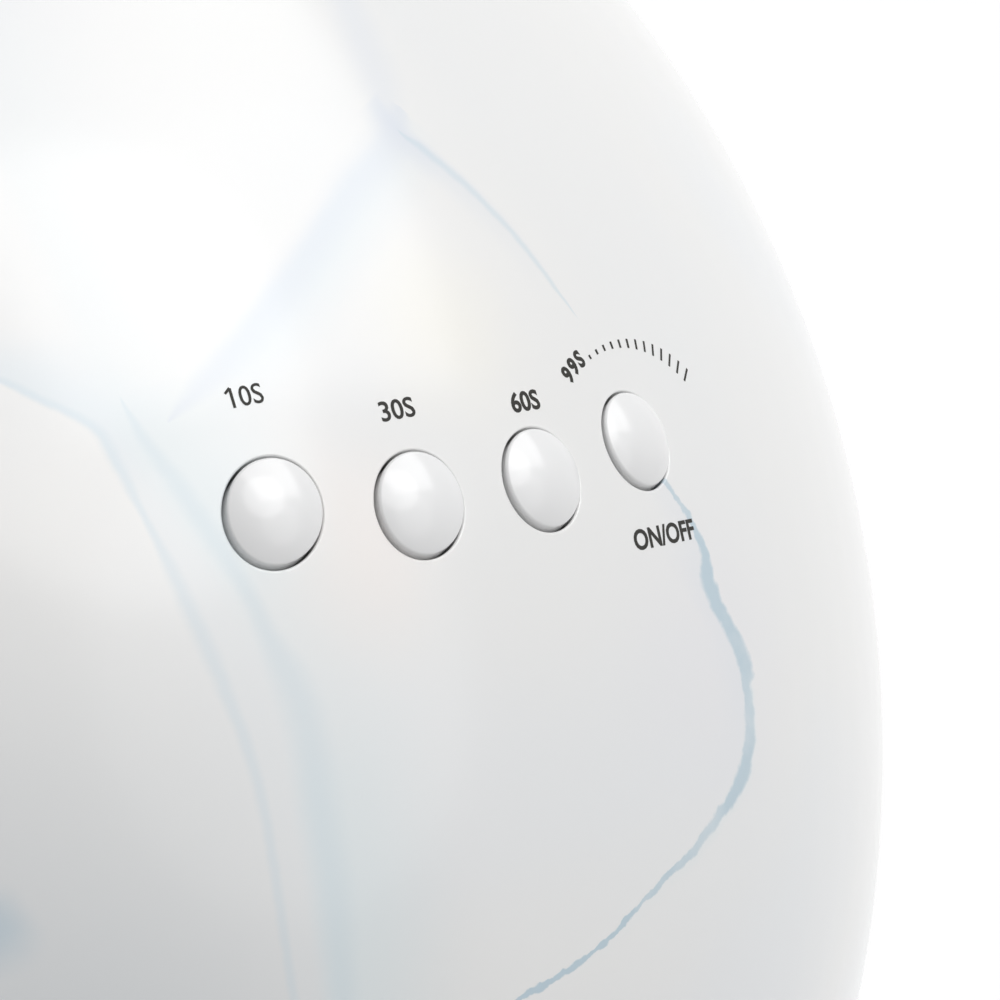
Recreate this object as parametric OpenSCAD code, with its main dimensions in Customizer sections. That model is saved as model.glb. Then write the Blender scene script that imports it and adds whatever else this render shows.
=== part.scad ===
// LED nail lamp: an egg shaped shell over an open hand space, standing on a magnetic base tray.
// Millimetres, +Z up, the hand opening faces -Y, and the origin is on the table under the middle.

/* [Lamp] */
// Height of the lamp above the table
lamp_h = 96; // [90:1:106]
// Half width of the dome at its widest level
half_w = 102; // [98:0.5:110]
// Half depth of the dome at its widest level
half_d = 115.5; // [110:0.5:124]
// Height of the dome above its widest level, which lies below the table
dome_h = 106.7; // [103:0.1:114]
// Wall of the shell
wall = 2.6; // [2:0.1:3]

/* [Hand opening] */
// Thickness of each leg beside the opening, out to the dome's widest line
leg_w = 30; // [25:0.5:32]
// Depth from the top of the dome down to the crown of the opening
roof_depth = 37; // [33:0.5:38]
// Thickness of the return wall that lines the opening
return_t = 2.2; // [1.6:0.1:2.6]
// How far the base tray reaches in front of the opening's crown
tray_lead = 1.5; // [0.5:0.5:6]

/* [Reflector] */
// Room between the bowl and the dome's widest line at each side
side_room = 18; // [17:0.5:21]
// Room between the bowl and the dome's widest line at the back
back_room = 25.5; // [25:0.5:30]
// Place of the bowl's middle, front to back
bowl_y = -10; // [-14:0.5:-8]
// Wall of the bowl
bowl_t = 2; // [1.6:0.1:2.2]
// Tilt of the side and back panels from level
panel_tilt = 55; // [50:1:58]
// How deep the side and back panels cut into the bowl
panel_sink = 4; // [3.5:0.1:4.5]
// How far the ceiling panel lies above the opening's crown
ceiling_rise = 1; // [0.5:0.1:1.5]

/* [LEDs] */
// Side of the square foot of one LED
led_foot = 5; // [4.6:0.1:5]
// Radius of the LED's round lens
led_lens_r = 2.2; // [1.8:0.1:2.3]
// Radius of the hole that the LED's foot stands in
led_hole_r = 3.7; // [3.65:0.05:4]
// Radius of the hole's flared mouth
led_cup_r = 5.2; // [4.6:0.1:5.4]
// Distance between the ceiling's LEDs, across
ceiling_pitch_x = 17; // [15:0.5:17.5]
// Distance between the ceiling's rows of LEDs
ceiling_pitch_y = 12; // [11.5:0.5:12.5]
// Distance between the LEDs of the side and back panels
panel_pitch = 13; // [12:0.5:13.5]

/* [Buttons] */
// Radius of the hole in the shell
hole_r = 3.89; // [3.6:0.01:4.2]
// Gap all round the button in its hole
button_gap = 0.19; // [0.15:0.01:0.3]
// Distance between buttons, measured along the row
button_pitch = 12.05; // [11.6:0.05:13]
// Radius of the arc on which the row lies, seen from above
row_r = 70; // [60:1:120]
// Place of the row's middle, front to back
row_y = -41.17; // [-42:0.01:-38]
// Radius of the button's domed top
crown_r = 8; // [4.8:0.1:8]
// Height of the button's top above the shell
crown_rise = 1.2; // [0.6:0.1:1.4]
// Travel of a button
travel = 0.5; // [0.3:0.05:0.6]
// Length of the guide tube below the shell's outer face
tube_len = 5.6; // [5.2:0.1:6]
// Width of the bevel round each hole
hole_bevel = 0.5; // [0.3:0.05:0.6]

/* [Controls] */
// Depth of the control board's face below the shell at the outer buttons
board_depth = 14; // [13.8:0.1:14.6]
// Width of the control board
control_w = 56; // [54:0.5:60]
// Depth of the control board, front to back
control_d = 46; // [45:0.5:50]
// Height of a tact switch with its plunger
switch_h = 5; // [4.8:0.1:5.2]
// Width of the display module
display_w = 26; // [22:0.5:28]
// Depth of the display module, front to back
display_d = 14; // [12:0.5:15]
// Height of the display module
display_h = 8; // [7:0.5:9]
// Wall of the shell where the display shines through it
window_t = 1.2; // [0.8:0.1:1.6]
// Thickness of every circuit board
board_t = 1.6; // [1.2:0.1:1.6]

/* [Base] */
// Height of the feet below the tray
foot_h = 2; // [1.5:0.1:3]
// Radius of a foot
foot_r = 7; // [5:0.5:9]
// Depth of the recess that holds a foot
foot_sink = 0.5; // [0.3:0.1:0.8]
// Thickness of the base tray
tray_t = 3; // [2.8:0.1:4]
// Thickness of the base frame
frame_t = 4; // [3.6:0.1:4.5]
// Height of the shadow gap between the tray and the shell
shadow_gap = 0.6; // [0.4:0.1:1]
// Height of the ridge that centres the lamp on the tray
ridge_h = 1.4; // [0.8:0.1:2]
// Thickness of the mirror sheet
mirror_t = 0.5; // [0.3:0.1:0.6]
// Radius of a magnet
magnet_r = 4; // [3:0.25:4]
// Thickness of a magnet
magnet_t = 2; // [1.5:0.1:2.2]

/* [Power] */
// Height of the power board above the base frame
post_h = 4; // [3:0.1:5]
// Width of the power board
power_w = 76; // [70:1:76]
// Width of the power jack's body
jack_w = 9; // [8:0.1:10]
// Height of the power jack's body
jack_h = 11; // [10:0.1:12]
// Length of the power jack's body
jack_l = 13; // [12:0.1:14]
// Radius of the power jack's nose in the shell
jack_nose_r = 4.2; // [4:0.05:4.4]
// Radius of the socket that takes the plug's sleeve
jack_bore_r = 2.85; // [2.8:0.01:3.2]
// Radius of the jack's centre pin
jack_pin_r = 1.05; // [1:0.01:1.25]
// Radius of the larger capacitor
capacitor_r = 5; // [4:0.1:5.5]
// Height of the larger capacitor
capacitor_h = 16; // [12:0.5:20]
// Number of air slots in the back of the shell
vent_n = 9; // [3:2:11]
// Distance between air slots
vent_pitch = 5; // [4.5:0.1:6]
// Width of an air slot
vent_w = 1.8; // [1.4:0.1:2.4]
// Height of an air slot
vent_h = 13; // [8:0.5:16]

/* [Fasteners] */
// Radius of the bosses that take the frame screws
boss_r = 3; // [2.8:0.1:3.2]
// Radius of a frame screw's shank
screw_r = 1.25; // [1:0.05:1.4]
// Radius of a board screw's shank
board_screw_r = 0.9; // [0.7:0.05:1]
// How deep a board screw bites into its boss
screw_bite = 5; // [4:0.1:6]

/* [Hidden] */

// Clearances: between seated pieces, round a screw's thread and its plain shank, between a
// sliding face and its stop, round a magnet, and over its face
gap = 0.3;
screw_gap = 0.05;
shank_gap = 0.2;
stop_gap = 0.2;
magnet_gap = 0.1;
magnet_skin = 0.15;
big = 300;
smooth = 128;

// Levels, from the table up
tray_z = foot_h;
deck_z = tray_z + tray_t;
skirt_z = deck_z + shadow_gap;
seat_z = deck_z + frame_t;
lug_t = 2;
lug_z = seat_z + lug_t;
dome_z = lamp_h - dome_h;
arch_z = tray_z;

// The ellipsoid of the dome: its half axes, narrowed by an inset, and heights and normals on it
dome_c = [0, 0, dome_z];
function dome_q(inset) = [half_w - inset, half_d - inset, dome_h - inset];
function level_k(q, z) = sqrt(1 - pow(z / q.z, 2));
function top_z(x, y) = dome_z + dome_h * sqrt(1 - pow(x / half_w, 2) - pow(y / half_d, 2));
function unit(v) = v / norm(v);
function dome_n(x, y) =
    unit([x / pow(half_w, 2), y / pow(half_d, 2), (top_z(x, y) - dome_z) / pow(dome_h, 2)]);

// The hand opening is half an ellipse, springing from the tray's underside
mouth_a = half_w - leg_w;
mouth_h = lamp_h - roof_depth - arch_z;

// The bowl is part of an ellipsoid whose section at the return wall is the hand opening
bowl_a = half_w - side_room;
bowl_b = half_d - back_room - bowl_y;
bowl_h = mouth_h * bowl_a / mouth_a;
bowl_c = [0, bowl_y, arch_z];
mouth_y = bowl_y - bowl_b * sqrt(1 - pow(mouth_a / bowl_a, 2));
function bowl_q(outset) = [bowl_a + outset, bowl_b + outset, bowl_h + outset];

// Where the dome ends in front: at the legs, at the crown, and the arc of the tray between them
skirt_k = level_k(dome_q(0), skirt_z - dome_z);
leg_y = -half_d * skirt_k * sqrt(1 - pow(mouth_a / (half_w * skirt_k), 2));
crown_y = -half_d * level_k(dome_q(0), arch_z + mouth_h - dome_z);
front_y = crown_y - tray_lead;
front_sag = leg_y - front_y;
front_r = (pow(mouth_a, 2) + pow(front_sag, 2)) / (2 * front_sag);
back_y = half_d * level_k(dome_q(0), max(0, tray_z - dome_z));
centre_y = -(front_y + back_y) / 2;

// The room between the bowl and the shell, at one level: its middle at an angle or at a width
function ring_in(level) = bowl_q(bowl_t) * level_k(bowl_q(bowl_t), level - arch_z);
function ring_out(level) = dome_q(wall) * level_k(dome_q(wall), level - dome_z);
function ring_pt(turn, level) = [
    cos(turn) * (ring_in(level).x + ring_out(level).x) / 2,
    bowl_y / 2 + sin(turn) * (ring_in(level).y + ring_out(level).y) / 2
];
function bowl_back(x, level, outset) =
    bowl_y + bowl_q(outset).y * sqrt(1 - pow(x / bowl_q(outset).x, 2)
        - pow((level - arch_z) / bowl_q(outset).z, 2));
function dome_back(x, level, inset) =
    dome_q(inset).y * sqrt(1 - pow(x / dome_q(inset).x, 2) - pow((level - dome_z) / dome_q(inset).z, 2));

// Angles round the lamp of the frame screws, the magnets and the feet
screw_turns = [-20, 25, 62, 118, 155, 200];
magnet_turns = [0, 45, 135, 180];
foot_turns = [-24, 42, 138, 204];
foot_in = 0.8;

// Screw heads, radius and height, and how deep the frame screws are let in and bite
board_head = [1.8, 1.2];
frame_head = [2.4, 1.5];
frame_sink = 1.9;
frame_bite = 5;
boss_hole = 8;
post_bite = 1;

// The four flat panels of the bowl: outward normal, turn that lays +Z along it, and their depth
panel_names = ["ceiling", "left", "right", "back"];
panel_turns = [[0, 0, 0], [0, -panel_tilt, 0], [0, panel_tilt, 0], [-panel_tilt, 0, 0]];
panel_normals = [
    [0, 0, 1],
    [-sin(panel_tilt), 0, cos(panel_tilt)],
    [sin(panel_tilt), 0, cos(panel_tilt)],
    [0, sin(panel_tilt), cos(panel_tilt)]
];
function stretch(q, n) = [q.x * n.x, q.y * n.y, q.z * n.z];
function reach(i) = norm(stretch(bowl_q(0), panel_normals[i]));
function panel_dist(i) = i == 0 ? mouth_h + ceiling_rise : reach(i) - panel_sink;
function panel_mid(i) =
    bowl_c + stretch(bowl_q(0), stretch(bowl_q(0), panel_normals[i])) * panel_dist(i) / pow(reach(i), 2);

// LEDs on a panel: rows of different lengths, each row centred, across and along the panel
function row_of(n, pitch, along) = [for (k = [0:n - 1]) [(k - (n - 1) / 2) * pitch, along]];
function turned(points) = [for (p = points) [p.y, p.x]];
function flat(lists) = [for (l = lists) for (p = l) p];
ceiling_rows = [3, 2, 3, 2, 3];
ceiling_spots = flat([for (r = [0:4]) row_of(ceiling_rows[r], ceiling_pitch_x, (r - 2) * ceiling_pitch_y)]);
side_spots = turned(concat(
    row_of(3, panel_pitch, -panel_pitch / 2),
    row_of(4, panel_pitch, panel_pitch / 2)
));
back_spots = concat(
    row_of(2, panel_pitch, -panel_pitch / 2),
    row_of(3, panel_pitch, panel_pitch / 2)
);
function spots(i) = i == 0 ? ceiling_spots : i == 3 ? back_spots : side_spots;

// LED boards: half sizes and screw places in the panel's own plane
ceiling_half = [ceiling_pitch_x, 2 * ceiling_pitch_y] + [2.6, 2.6] * led_foot;
side_half = [0.5 * panel_pitch, 1.5 * panel_pitch] + [1.5, 2] * led_foot;
back_half = [panel_pitch, 0.5 * panel_pitch] + [2, 1.5] * led_foot;
function board_half(i) = i == 0 ? ceiling_half : i == 3 ? back_half : side_half;
ceiling_screws = [for (sx = [-1, 1], sy = [-1, 1])
    [sx * (ceiling_pitch_x + 1.2 * led_foot), sy * ceiling_pitch_y]];
side_screws = [for (s = [-1, 1]) [0, s * (1.5 * panel_pitch + 1.3 * led_foot)]];
back_screws = [for (s = [-1, 1]) [s * (panel_pitch + 1.4 * led_foot), 0]];
function led_screws(i) = i == 0 ? ceiling_screws : i == 3 ? back_screws : side_screws;
led_screw_r = 0.8;
led_screw_bite = bowl_t * 0.7;
sensor_r = 1.5;
sensor_hole_r = sensor_r + 0.2;
sensor_spots = [[-6, -2 * ceiling_pitch_y - 11], [6, -2 * ceiling_pitch_y - 11]];

// The row of buttons
button_n = 4;
function row_turn(i) = (i - (button_n - 1) / 2) * button_pitch / row_r * 180 / PI;
function row_xy(i) = [row_r * sin(row_turn(i)), row_y + row_r * (1 - cos(row_turn(i)))];
outer_xy = row_xy(button_n - 1);
row_top = top_z(outer_xy.x, outer_xy.y);
cap_r = hole_r - button_gap;
tube_r = hole_r + 1.3;
tube_end = row_top - tube_len;
flange_r = tube_r - 0.2;
flange_t = 1.2;
flange_top = tube_end - stop_gap;
flange_low = flange_top - flange_t;
board_top = row_top - board_depth;
plunger_top = board_top + switch_h;
stem_r = 2;
key_w = 1.2;
key_len = flange_t + stop_gap + travel + 0.3;

// Tact switches: housing, and the bore in which the plunger slides
switch_side = 6;
housing_h = switch_h - 1.5;
plunger_r = 1.6;
plunger_in = housing_h - 1.4;

// Control board, with the display behind the row
board_front = row_y - 8.8;
board_low = board_top - board_t;
control_boss_r = 2.6;
control_spots = [for (sx = [-1, 1], y = [board_front + 3.5, board_front + control_d - 3.5])
    [sx * (control_w / 2 - 3.5), y]];
display_y = row_y + 25;
mask_wall = 1.2;

// Power board and jack at the back
power_low = seat_z + post_h;
power_top = power_low + board_t;
post_r = 2.8;
post_x = power_w / 2 - 6;
post_y = (bowl_back(post_x, power_top, bowl_t) + dome_back(post_x, power_top, wall)) / 2;
jack_z = power_top + 6.5;
jack_face = dome_back(jack_w / 2, power_top + jack_h, wall) - 0.5;
jack_nose_end = dome_back(0, jack_z, 0) - 1.2;
port_r = jack_nose_r + gap;
vent_z = jack_z + 19;

// Plug-in connectors: length along the cable, width and height, and the cables' size
plug = [5, 8, 3];
cable_t = 1;
cable_w = 6;
cable_lift = 4;
power_cable_x = 25;
control_cable_x = -12;
deck_top = arch_z + panel_dist(0) + bowl_t + board_t;
ceiling_back = bowl_y + ceiling_half.y;

// General solids

module ellipsoid(centre, q) {
    translate(centre) scale(q) sphere(r = 1, $fn = smooth);
}

module dome(inset) {
    ellipsoid(dome_c, dome_q(inset));
}

// Everything above one level and, with roof given, below another
module above(z, roof = big) {
    translate([-big / 2, -big / 2, z]) cube([big, big, roof - z]);
}

// A half elliptic tunnel along Y, out through the front, as far back as a plane
module arch(outset, to_y) {
    translate([0, to_y, arch_z]) rotate([90, 0, 0])
        linear_extrude(big) scale([mouth_a + outset, mouth_h + outset]) circle(r = 1, $fn = smooth);
}

module bowl(outset) {
    difference() {
        ellipsoid(bowl_c, bowl_q(outset));
        for (i = [0:3])
            at_panel(i, outset) translate([-big / 2, -big / 2, 0]) cube([big, big, big]);
    }
}

// The bowl's outline on the table, as a plate between two levels
module bowl_plate(inset, z, h) {
    translate([0, bowl_y, z]) linear_extrude(h)
        scale([bowl_a - inset, bowl_b - inset]) circle(r = 1, $fn = smooth);
}

module at_panel(i, rise) {
    translate(panel_mid(i)) rotate(panel_turns[i]) translate([0, 0, rise]) children();
}

// Places a piece drawn about the dome's axis in the lamp's frame
module placed() {
    translate([0, centre_y, 0]) children();
}

module post(xy, z, r, h) {
    translate([xy.x, xy.y, z]) cylinder(r = r, h = h, $fn = 48);
}

module posts(spots, z, r, h) {
    for (p = spots) post(p, z, r, h);
}

// A plate with rounded corners, centred
module plate(half, r, t) {
    linear_extrude(t) union() {
        square([2 * half.x, 2 * (half.y - r)], center = true);
        square([2 * (half.x - r), 2 * half.y], center = true);
        for (sx = [-1, 1], sy = [-1, 1])
            translate([sx * (half.x - r), sy * (half.y - r)]) circle(r = r, $fn = 32);
    }
}

// A pan head screw with its shank pointing up from z
module screw(xy, z, r, head_r, head_h, shank) {
    post(xy, z - head_h, head_r, head_h);
    post(xy, z, r, shank);
}

// Shell

module shell_skin() {
    difference() {
        dome(0);
        dome(wall);
    }
}

// The wall that runs back from the edge of the opening to the reflector
module return_wall() {
    difference() {
        intersection() {
            arch(return_t, mouth_y);
            dome(0);
        }
        arch(0, 0);
    }
}

// Four tubes under the shell that guide the buttons, each with a key that stops it turning
module guide_tubes() {
    for (i = [0:button_n - 1]) {
        intersection() {
            post(row_xy(i), tube_end, tube_r, tube_len * 2);
            dome(wall / 2);
        }
        translate([row_xy(i).x - key_w / 2, row_xy(i).y + cap_r + 0.3, tube_end - key_len])
            cube([key_w, tube_r - cap_r - 0.5, key_len + 1]);
    }
}

// A hole for a button, with a bevel that follows the slope of the shell
module button_hole(i) {
    xy = row_xy(i);
    n = dome_n(xy.x, xy.y);
    mid_r = hole_r * (1 + 1 / n.z) / 2;
    post(xy, tube_end - 1, hole_r, big);
    translate([xy.x, xy.y, top_z(xy.x, xy.y)]) rotate([0, 0, atan2(n.y, n.x)]) rotate([0, acos(n.z), 180])
        translate([0, 0, -hole_bevel])
            cylinder(r1 = mid_r, r2 = mid_r + 2 * hole_bevel, h = 2 * hole_bevel, $fn = 64);
}

module vents() {
    for (k = [0:vent_n - 1]) {
        x = (k - (vent_n - 1) / 2) * vent_pitch;
        translate([x - vent_w / 2, half_d / 2, vent_z - vent_h / 2]) cube([vent_w, half_d, vent_h]);
        for (s = [-1, 1])
            translate([x, half_d / 2, vent_z + s * vent_h / 2]) rotate([-90, 0, 0])
                cylinder(r = vent_w / 2, h = half_d, $fn = 32);
    }
}

module top_shell() {
    color("white") placed() difference() {
        union() {
            intersection() {
                union() {
                    difference() {
                        shell_skin();
                        arch(0, 0);
                    }
                    return_wall();
                }
                above(skirt_z);
            }
            guide_tubes();
            intersection() {
                posts(control_spots, board_top, control_boss_r, big / 4);
                dome(wall / 2);
            }
            intersection() {
                for (turn = screw_turns) post(ring_pt(turn, lug_z), lug_z, boss_r, big / 4);
                dome(wall / 2);
                above(lug_z, lug_z + 30);
            }
        }
        for (i = [0:button_n - 1]) button_hole(i);
        // Pocket that thins the shell over the display
        intersection() {
            translate([0, display_y, board_top]) plate([display_w / 2 + 1, display_d / 2 + 1], 1, big / 4);
            dome(window_t);
        }
        posts(control_spots, board_top - 1, board_screw_r + screw_gap, screw_bite + 2);
        for (turn = screw_turns) post(ring_pt(turn, lug_z), lug_z - 1, screw_r + screw_gap, boss_hole + 1);
        translate([0, half_d / 2, jack_z]) rotate([-90, 0, 0]) cylinder(r = port_r, h = half_d, $fn = 64);
        vents();
    }
}

// Buttons

// The domed top: a ball let into the shell's slope, and everything below its middle
module crown(i) {
    xy = row_xy(i);
    n = dome_n(xy.x, xy.y);
    translate([xy.x, xy.y, top_z(xy.x, xy.y)] - n * (crown_r - crown_rise)) {
        sphere(r = crown_r, $fn = 96);
        rotate([0, 0, atan2(n.y, n.x)]) rotate([0, acos(n.z), 0])
            translate([-10, -10, -20]) cube(20);
    }
}

module button(i) {
    xy = row_xy(i);
    color("ghostwhite") placed() {
        intersection() {
            post(xy, flange_low, cap_r, 2 * tube_len);
            crown(i);
        }
        difference() {
            post(xy, flange_low, flange_r, flange_t);
            translate([xy.x - key_w / 2 - 0.25, xy.y + cap_r + 0.05, flange_low - 1])
                cube([key_w + 0.5, tube_r, flange_t + 2]);
        }
        post(xy, plunger_top, stem_r, flange_low - plunger_top);
    }
}

module plunger(i) {
    color("dimgray") placed() post(row_xy(i), board_top + plunger_in, plunger_r, switch_h - plunger_in);
}

module switch_housings() {
    color("black") placed() for (i = [0:button_n - 1]) difference() {
        translate([row_xy(i).x, row_xy(i).y, board_top]) {
            translate([-switch_side / 2, -switch_side / 2, 0]) cube([switch_side, switch_side, housing_h]);
            for (sx = [-1, 1], sy = [-1, 1])
                translate([sx * switch_side / 2 - 0.5, sy * (switch_side / 2 + 0.5) - 0.5, 0])
                    cube([1, 1, 0.6]);
        }
        post(row_xy(i), board_top + plunger_in - travel - gap, plunger_r + 0.1, housing_h);
    }
}

// Controls

module control_board() {
    color("darkgreen") placed() difference() {
        translate([0, board_front + control_d / 2, board_low]) plate([control_w, control_d] / 2, 2, board_t);
        posts(control_spots, board_low - 1, board_screw_r + shank_gap, board_t + 2);
    }
}

module control_screws() {
    color("silver") placed()
        for (p = control_spots)
            screw(p, board_low, board_screw_r, board_head.x, board_head.y, board_t + screw_bite);
}

module controller_chip() {
    chip = [4, 10, 1.6];
    color("black") placed()
        translate([control_w / 2 - 8, display_y, board_top]) {
            translate([-chip.x / 2, -chip.y / 2, 0.1]) cube([chip.x, chip.y, chip.z]);
            for (s = [-1, 1], k = [0:7])
                translate([s * (chip.x / 2 + 0.4) - 0.6, (k - 3.5) * 1.27 - 0.2, 0]) cube([1.2, 0.4, 0.5]);
        }
}

module display_module() {
    color("dimgray") placed() translate([0, display_y, board_top])
        plate([display_w, display_d] / 2, 0.5, display_h);
}

// The light box that carries the digits up to the shell
module display_mask() {
    color("black") placed() intersection() {
        translate([0, display_y, board_top + display_h]) difference() {
            plate([display_w, display_d] / 2, 0.5, big / 4);
            for (s = [-1, 1]) translate([s * display_w / 4, 0, -1])
                plate([display_w / 4 - mask_wall, display_d / 2 - mask_wall], 0.5, big);
        }
        dome(window_t + gap);
    }
}

// Reflector

module led_holes(i) {
    for (p = spots(i)) at_panel(i, 0) translate([p.x, p.y, 0]) {
        translate([0, 0, -1]) cylinder(r = led_hole_r, h = bowl_t + 2, $fn = 48);
        translate([0, 0, -bowl_t / 2])
            cylinder(r1 = 2 * led_cup_r - led_hole_r, r2 = led_hole_r, h = bowl_t, $fn = 48);
    }
}

module led_screw_holes(i) {
    for (p = led_screws(i)) at_panel(i, bowl_t - led_screw_bite) translate([p.x, p.y, 0])
        cylinder(r = led_screw_r + screw_gap, h = 5, $fn = 32);
}

// A lug that the frame screw passes, bridged to the bowl
module lug(turn) {
    p = ring_pt(turn, lug_z);
    to = [0, bowl_y] - p;
    translate([p.x, p.y, seat_z]) {
        cylinder(r = boss_r + 0.4, h = lug_t, $fn = 48);
        rotate([0, 0, atan2(to.y, to.x)]) translate([0, -2.5, 0]) cube([14, 5, lug_t]);
    }
}

module reflector_liner() {
    color("gainsboro") placed() difference() {
        union() {
            intersection() {
                bowl(bowl_t);
                above(seat_z);
            }
            for (turn = screw_turns) lug(turn);
            // Rim that laps the end of the return wall
            intersection() {
                arch(bowl_t + 3, mouth_y + gap + 2);
                dome(wall + gap);
                above(seat_z);
            }
        }
        bowl(0);
        arch(big, mouth_y + gap);
        for (turn = screw_turns) post(ring_pt(turn, lug_z), seat_z - 1, screw_r + shank_gap, lug_t + 2);
        for (i = [0:3]) led_holes(i);
        for (i = [0:3]) led_screw_holes(i);
        for (p = sensor_spots) at_panel(0, -1) translate([p.x, p.y, 0])
            cylinder(r = sensor_hole_r, h = bowl_t + 2, $fn = 32);
    }
}

module led_board(i) {
    color("whitesmoke") placed() at_panel(i, bowl_t) difference() {
        plate(board_half(i), 2, board_t);
        for (p = led_screws(i)) translate([p.x, p.y, -1])
            cylinder(r = led_screw_r + shank_gap, h = board_t + 2, $fn = 32);
    }
}

// LEDs stand on the board's inner face, and their lenses look into the hand space
module leds(i) {
    color("lavender") placed() at_panel(i, bowl_t) for (p = spots(i)) translate([p.x, p.y, 0]) {
        translate([-led_foot / 2, -led_foot / 2, -1]) cube([led_foot, led_foot, 1]);
        intersection() {
            translate([0, 0, -1.5]) sphere(r = led_lens_r, $fn = 48);
            translate([-5, -5, -10]) cube([10, 10, 9.2]);
        }
    }
}

module led_board_screws() {
    color("silver") placed() for (i = [0:3]) at_panel(i, bowl_t + board_t) for (p = led_screws(i))
        translate([p.x, p.y, 0]) {
            cylinder(r = 1.6, h = 1, $fn = 32);
            translate([0, 0, -board_t - led_screw_bite + 0.1])
                cylinder(r = led_screw_r, h = board_t + led_screw_bite, $fn = 32);
        }
}

module hand_sensor() {
    color("indigo") placed() at_panel(0, bowl_t) for (p = sensor_spots) translate([p.x, p.y, 0]) {
        translate([0, 0, -bowl_t]) cylinder(r = sensor_r, h = bowl_t, $fn = 32);
        translate([0, 0, -bowl_t]) sphere(r = sensor_r, $fn = 32);
    }
}

// Connectors and cables

// A connector on a panel's board, lying along +X or +Y of the panel
module panel_plug(i, at, along_y) {
    size = along_y ? [plug.y, plug.x, plug.z] : plug;
    at_panel(i, bowl_t + board_t) translate([at.x - size.x / 2, at.y - size.y / 2, 0]) cube(size);
}

side_plug_x = -side_half.x + plug.x / 2;
back_plug_y = -back_half.y + plug.x / 2;
ceiling_plug_x = ceiling_half.x - 1 - plug.x / 2;
ceiling_plug_y = ceiling_half.y - 1 - plug.x / 2;
control_plug_y = board_front + control_d - 1 - plug.x / 2;
power_plug_y = bowl_back(power_cable_x, power_low, bowl_t + 2) + plug.x / 2 + 0.5;
plug_level = deck_top + plug.z / 2;

module board_connectors() {
    color("ivory") placed() {
        for (s = [-1, 1]) panel_plug(0, [s * ceiling_plug_x, 0], false);
        panel_plug(0, [0, ceiling_plug_y], true);
        panel_plug(0, [power_cable_x, ceiling_plug_y], true);
        panel_plug(0, [control_cable_x, ceiling_plug_y], true);
        panel_plug(1, [-side_plug_x, 0], false);
        panel_plug(2, [side_plug_x, 0], false);
        panel_plug(3, [0, back_plug_y], true);
        translate([control_cable_x - plug.y / 2, control_plug_y - plug.x / 2, board_low - plug.z])
            cube([plug.y, plug.x, plug.z]);
        translate([power_cable_x - plug.y / 2, power_plug_y - plug.x / 2, power_top])
            cube([plug.y, plug.x, 4]);
    }
}

// A flat cable of one thickness along a line of points in a plane
function side_step(p, i) = let (
        a = p[max(i - 1, 0)],
        b = p[min(i + 1, len(p) - 1)],
        d = unit(b - a)
    ) [-d.y, d.x] * cable_t / 2;
function strip(p) = concat(
    [for (i = [0:len(p) - 1]) p[i] + side_step(p, i)],
    [for (i = [len(p) - 1:-1:0]) p[i] - side_step(p, i)]
);

// Points above the bowl in a plane through its middle, at one height over its outer face
function over_bowl(a, turns) = [for (t = turns)
    [cos(t) * (a + bowl_t + cable_lift), arch_z + sin(t) * (bowl_h + bowl_t + cable_lift)]];

// A point of a side panel, seen from the front, or of the back panel, seen from the side
function on_panel(i, down, rise) = let (
        m = panel_mid(i),
        u = i == 3 ? m.y : abs(m.x)
    ) [u, m.z] + down * [cos(panel_tilt), -sin(panel_tilt)] + rise * [sin(panel_tilt), cos(panel_tilt)];
plug_mid = bowl_t + board_t + plug.z / 2;

module side_cable() {
    start = ceiling_half.x - 1;
    path = concat(
        [[start, plug_level], [start + 3, plug_level]],
        over_bowl(bowl_a, [66:-6:48]),
        [on_panel(2, -side_half.x - 3, plug_mid), on_panel(2, -side_half.x, plug_mid)]
    );
    translate([0, bowl_y + cable_w / 2, 0]) rotate([90, 0, 0]) linear_extrude(cable_w) polygon(strip(path));
}

module right_cable() {
    color("gray") placed() side_cable();
}

module left_cable() {
    color("gray") placed() mirror([1, 0, 0]) side_cable();
}

// Lays a shape drawn in front-to-back and height in the plane at one x
module in_side_plane(x) {
    translate([x - cable_w / 2, 0, 0]) rotate([90, 0, 90]) linear_extrude(cable_w) children();
}

module back_cable() {
    start = ceiling_back - 1;
    path = concat(
        [[start, plug_level], [start + 3, plug_level]],
        [for (p = over_bowl(bowl_b, [63:-6:51])) p + [bowl_y, 0]],
        [on_panel(3, -back_half.y - 3, plug_mid), on_panel(3, -back_half.y, plug_mid)]
    );
    color("gray") placed() in_side_plane(0) polygon(strip(path));
}

module power_cable() {
    start = ceiling_back - 1;
    path = concat(
        [[start, plug_level], [start + 3, plug_level]],
        [for (p = over_bowl(bowl_b, [63:-6:21])) p + [bowl_y, 0]],
        [[power_plug_y, power_top + 7], [power_plug_y, power_top + 4]]
    );
    color("gray") placed() in_side_plane(power_cable_x) polygon(strip(path));
}

module control_cable() {
    from = control_plug_y + plug.x / 2;
    to = ceiling_back - 1 - plug.x;
    high = board_low - plug.z / 2;
    path = [[from, high], [from + 2, high], [to - 2, plug_level], [to, plug_level]];
    color("gray") placed() in_side_plane(control_cable_x) polygon(strip(path));
}

// Base

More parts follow.
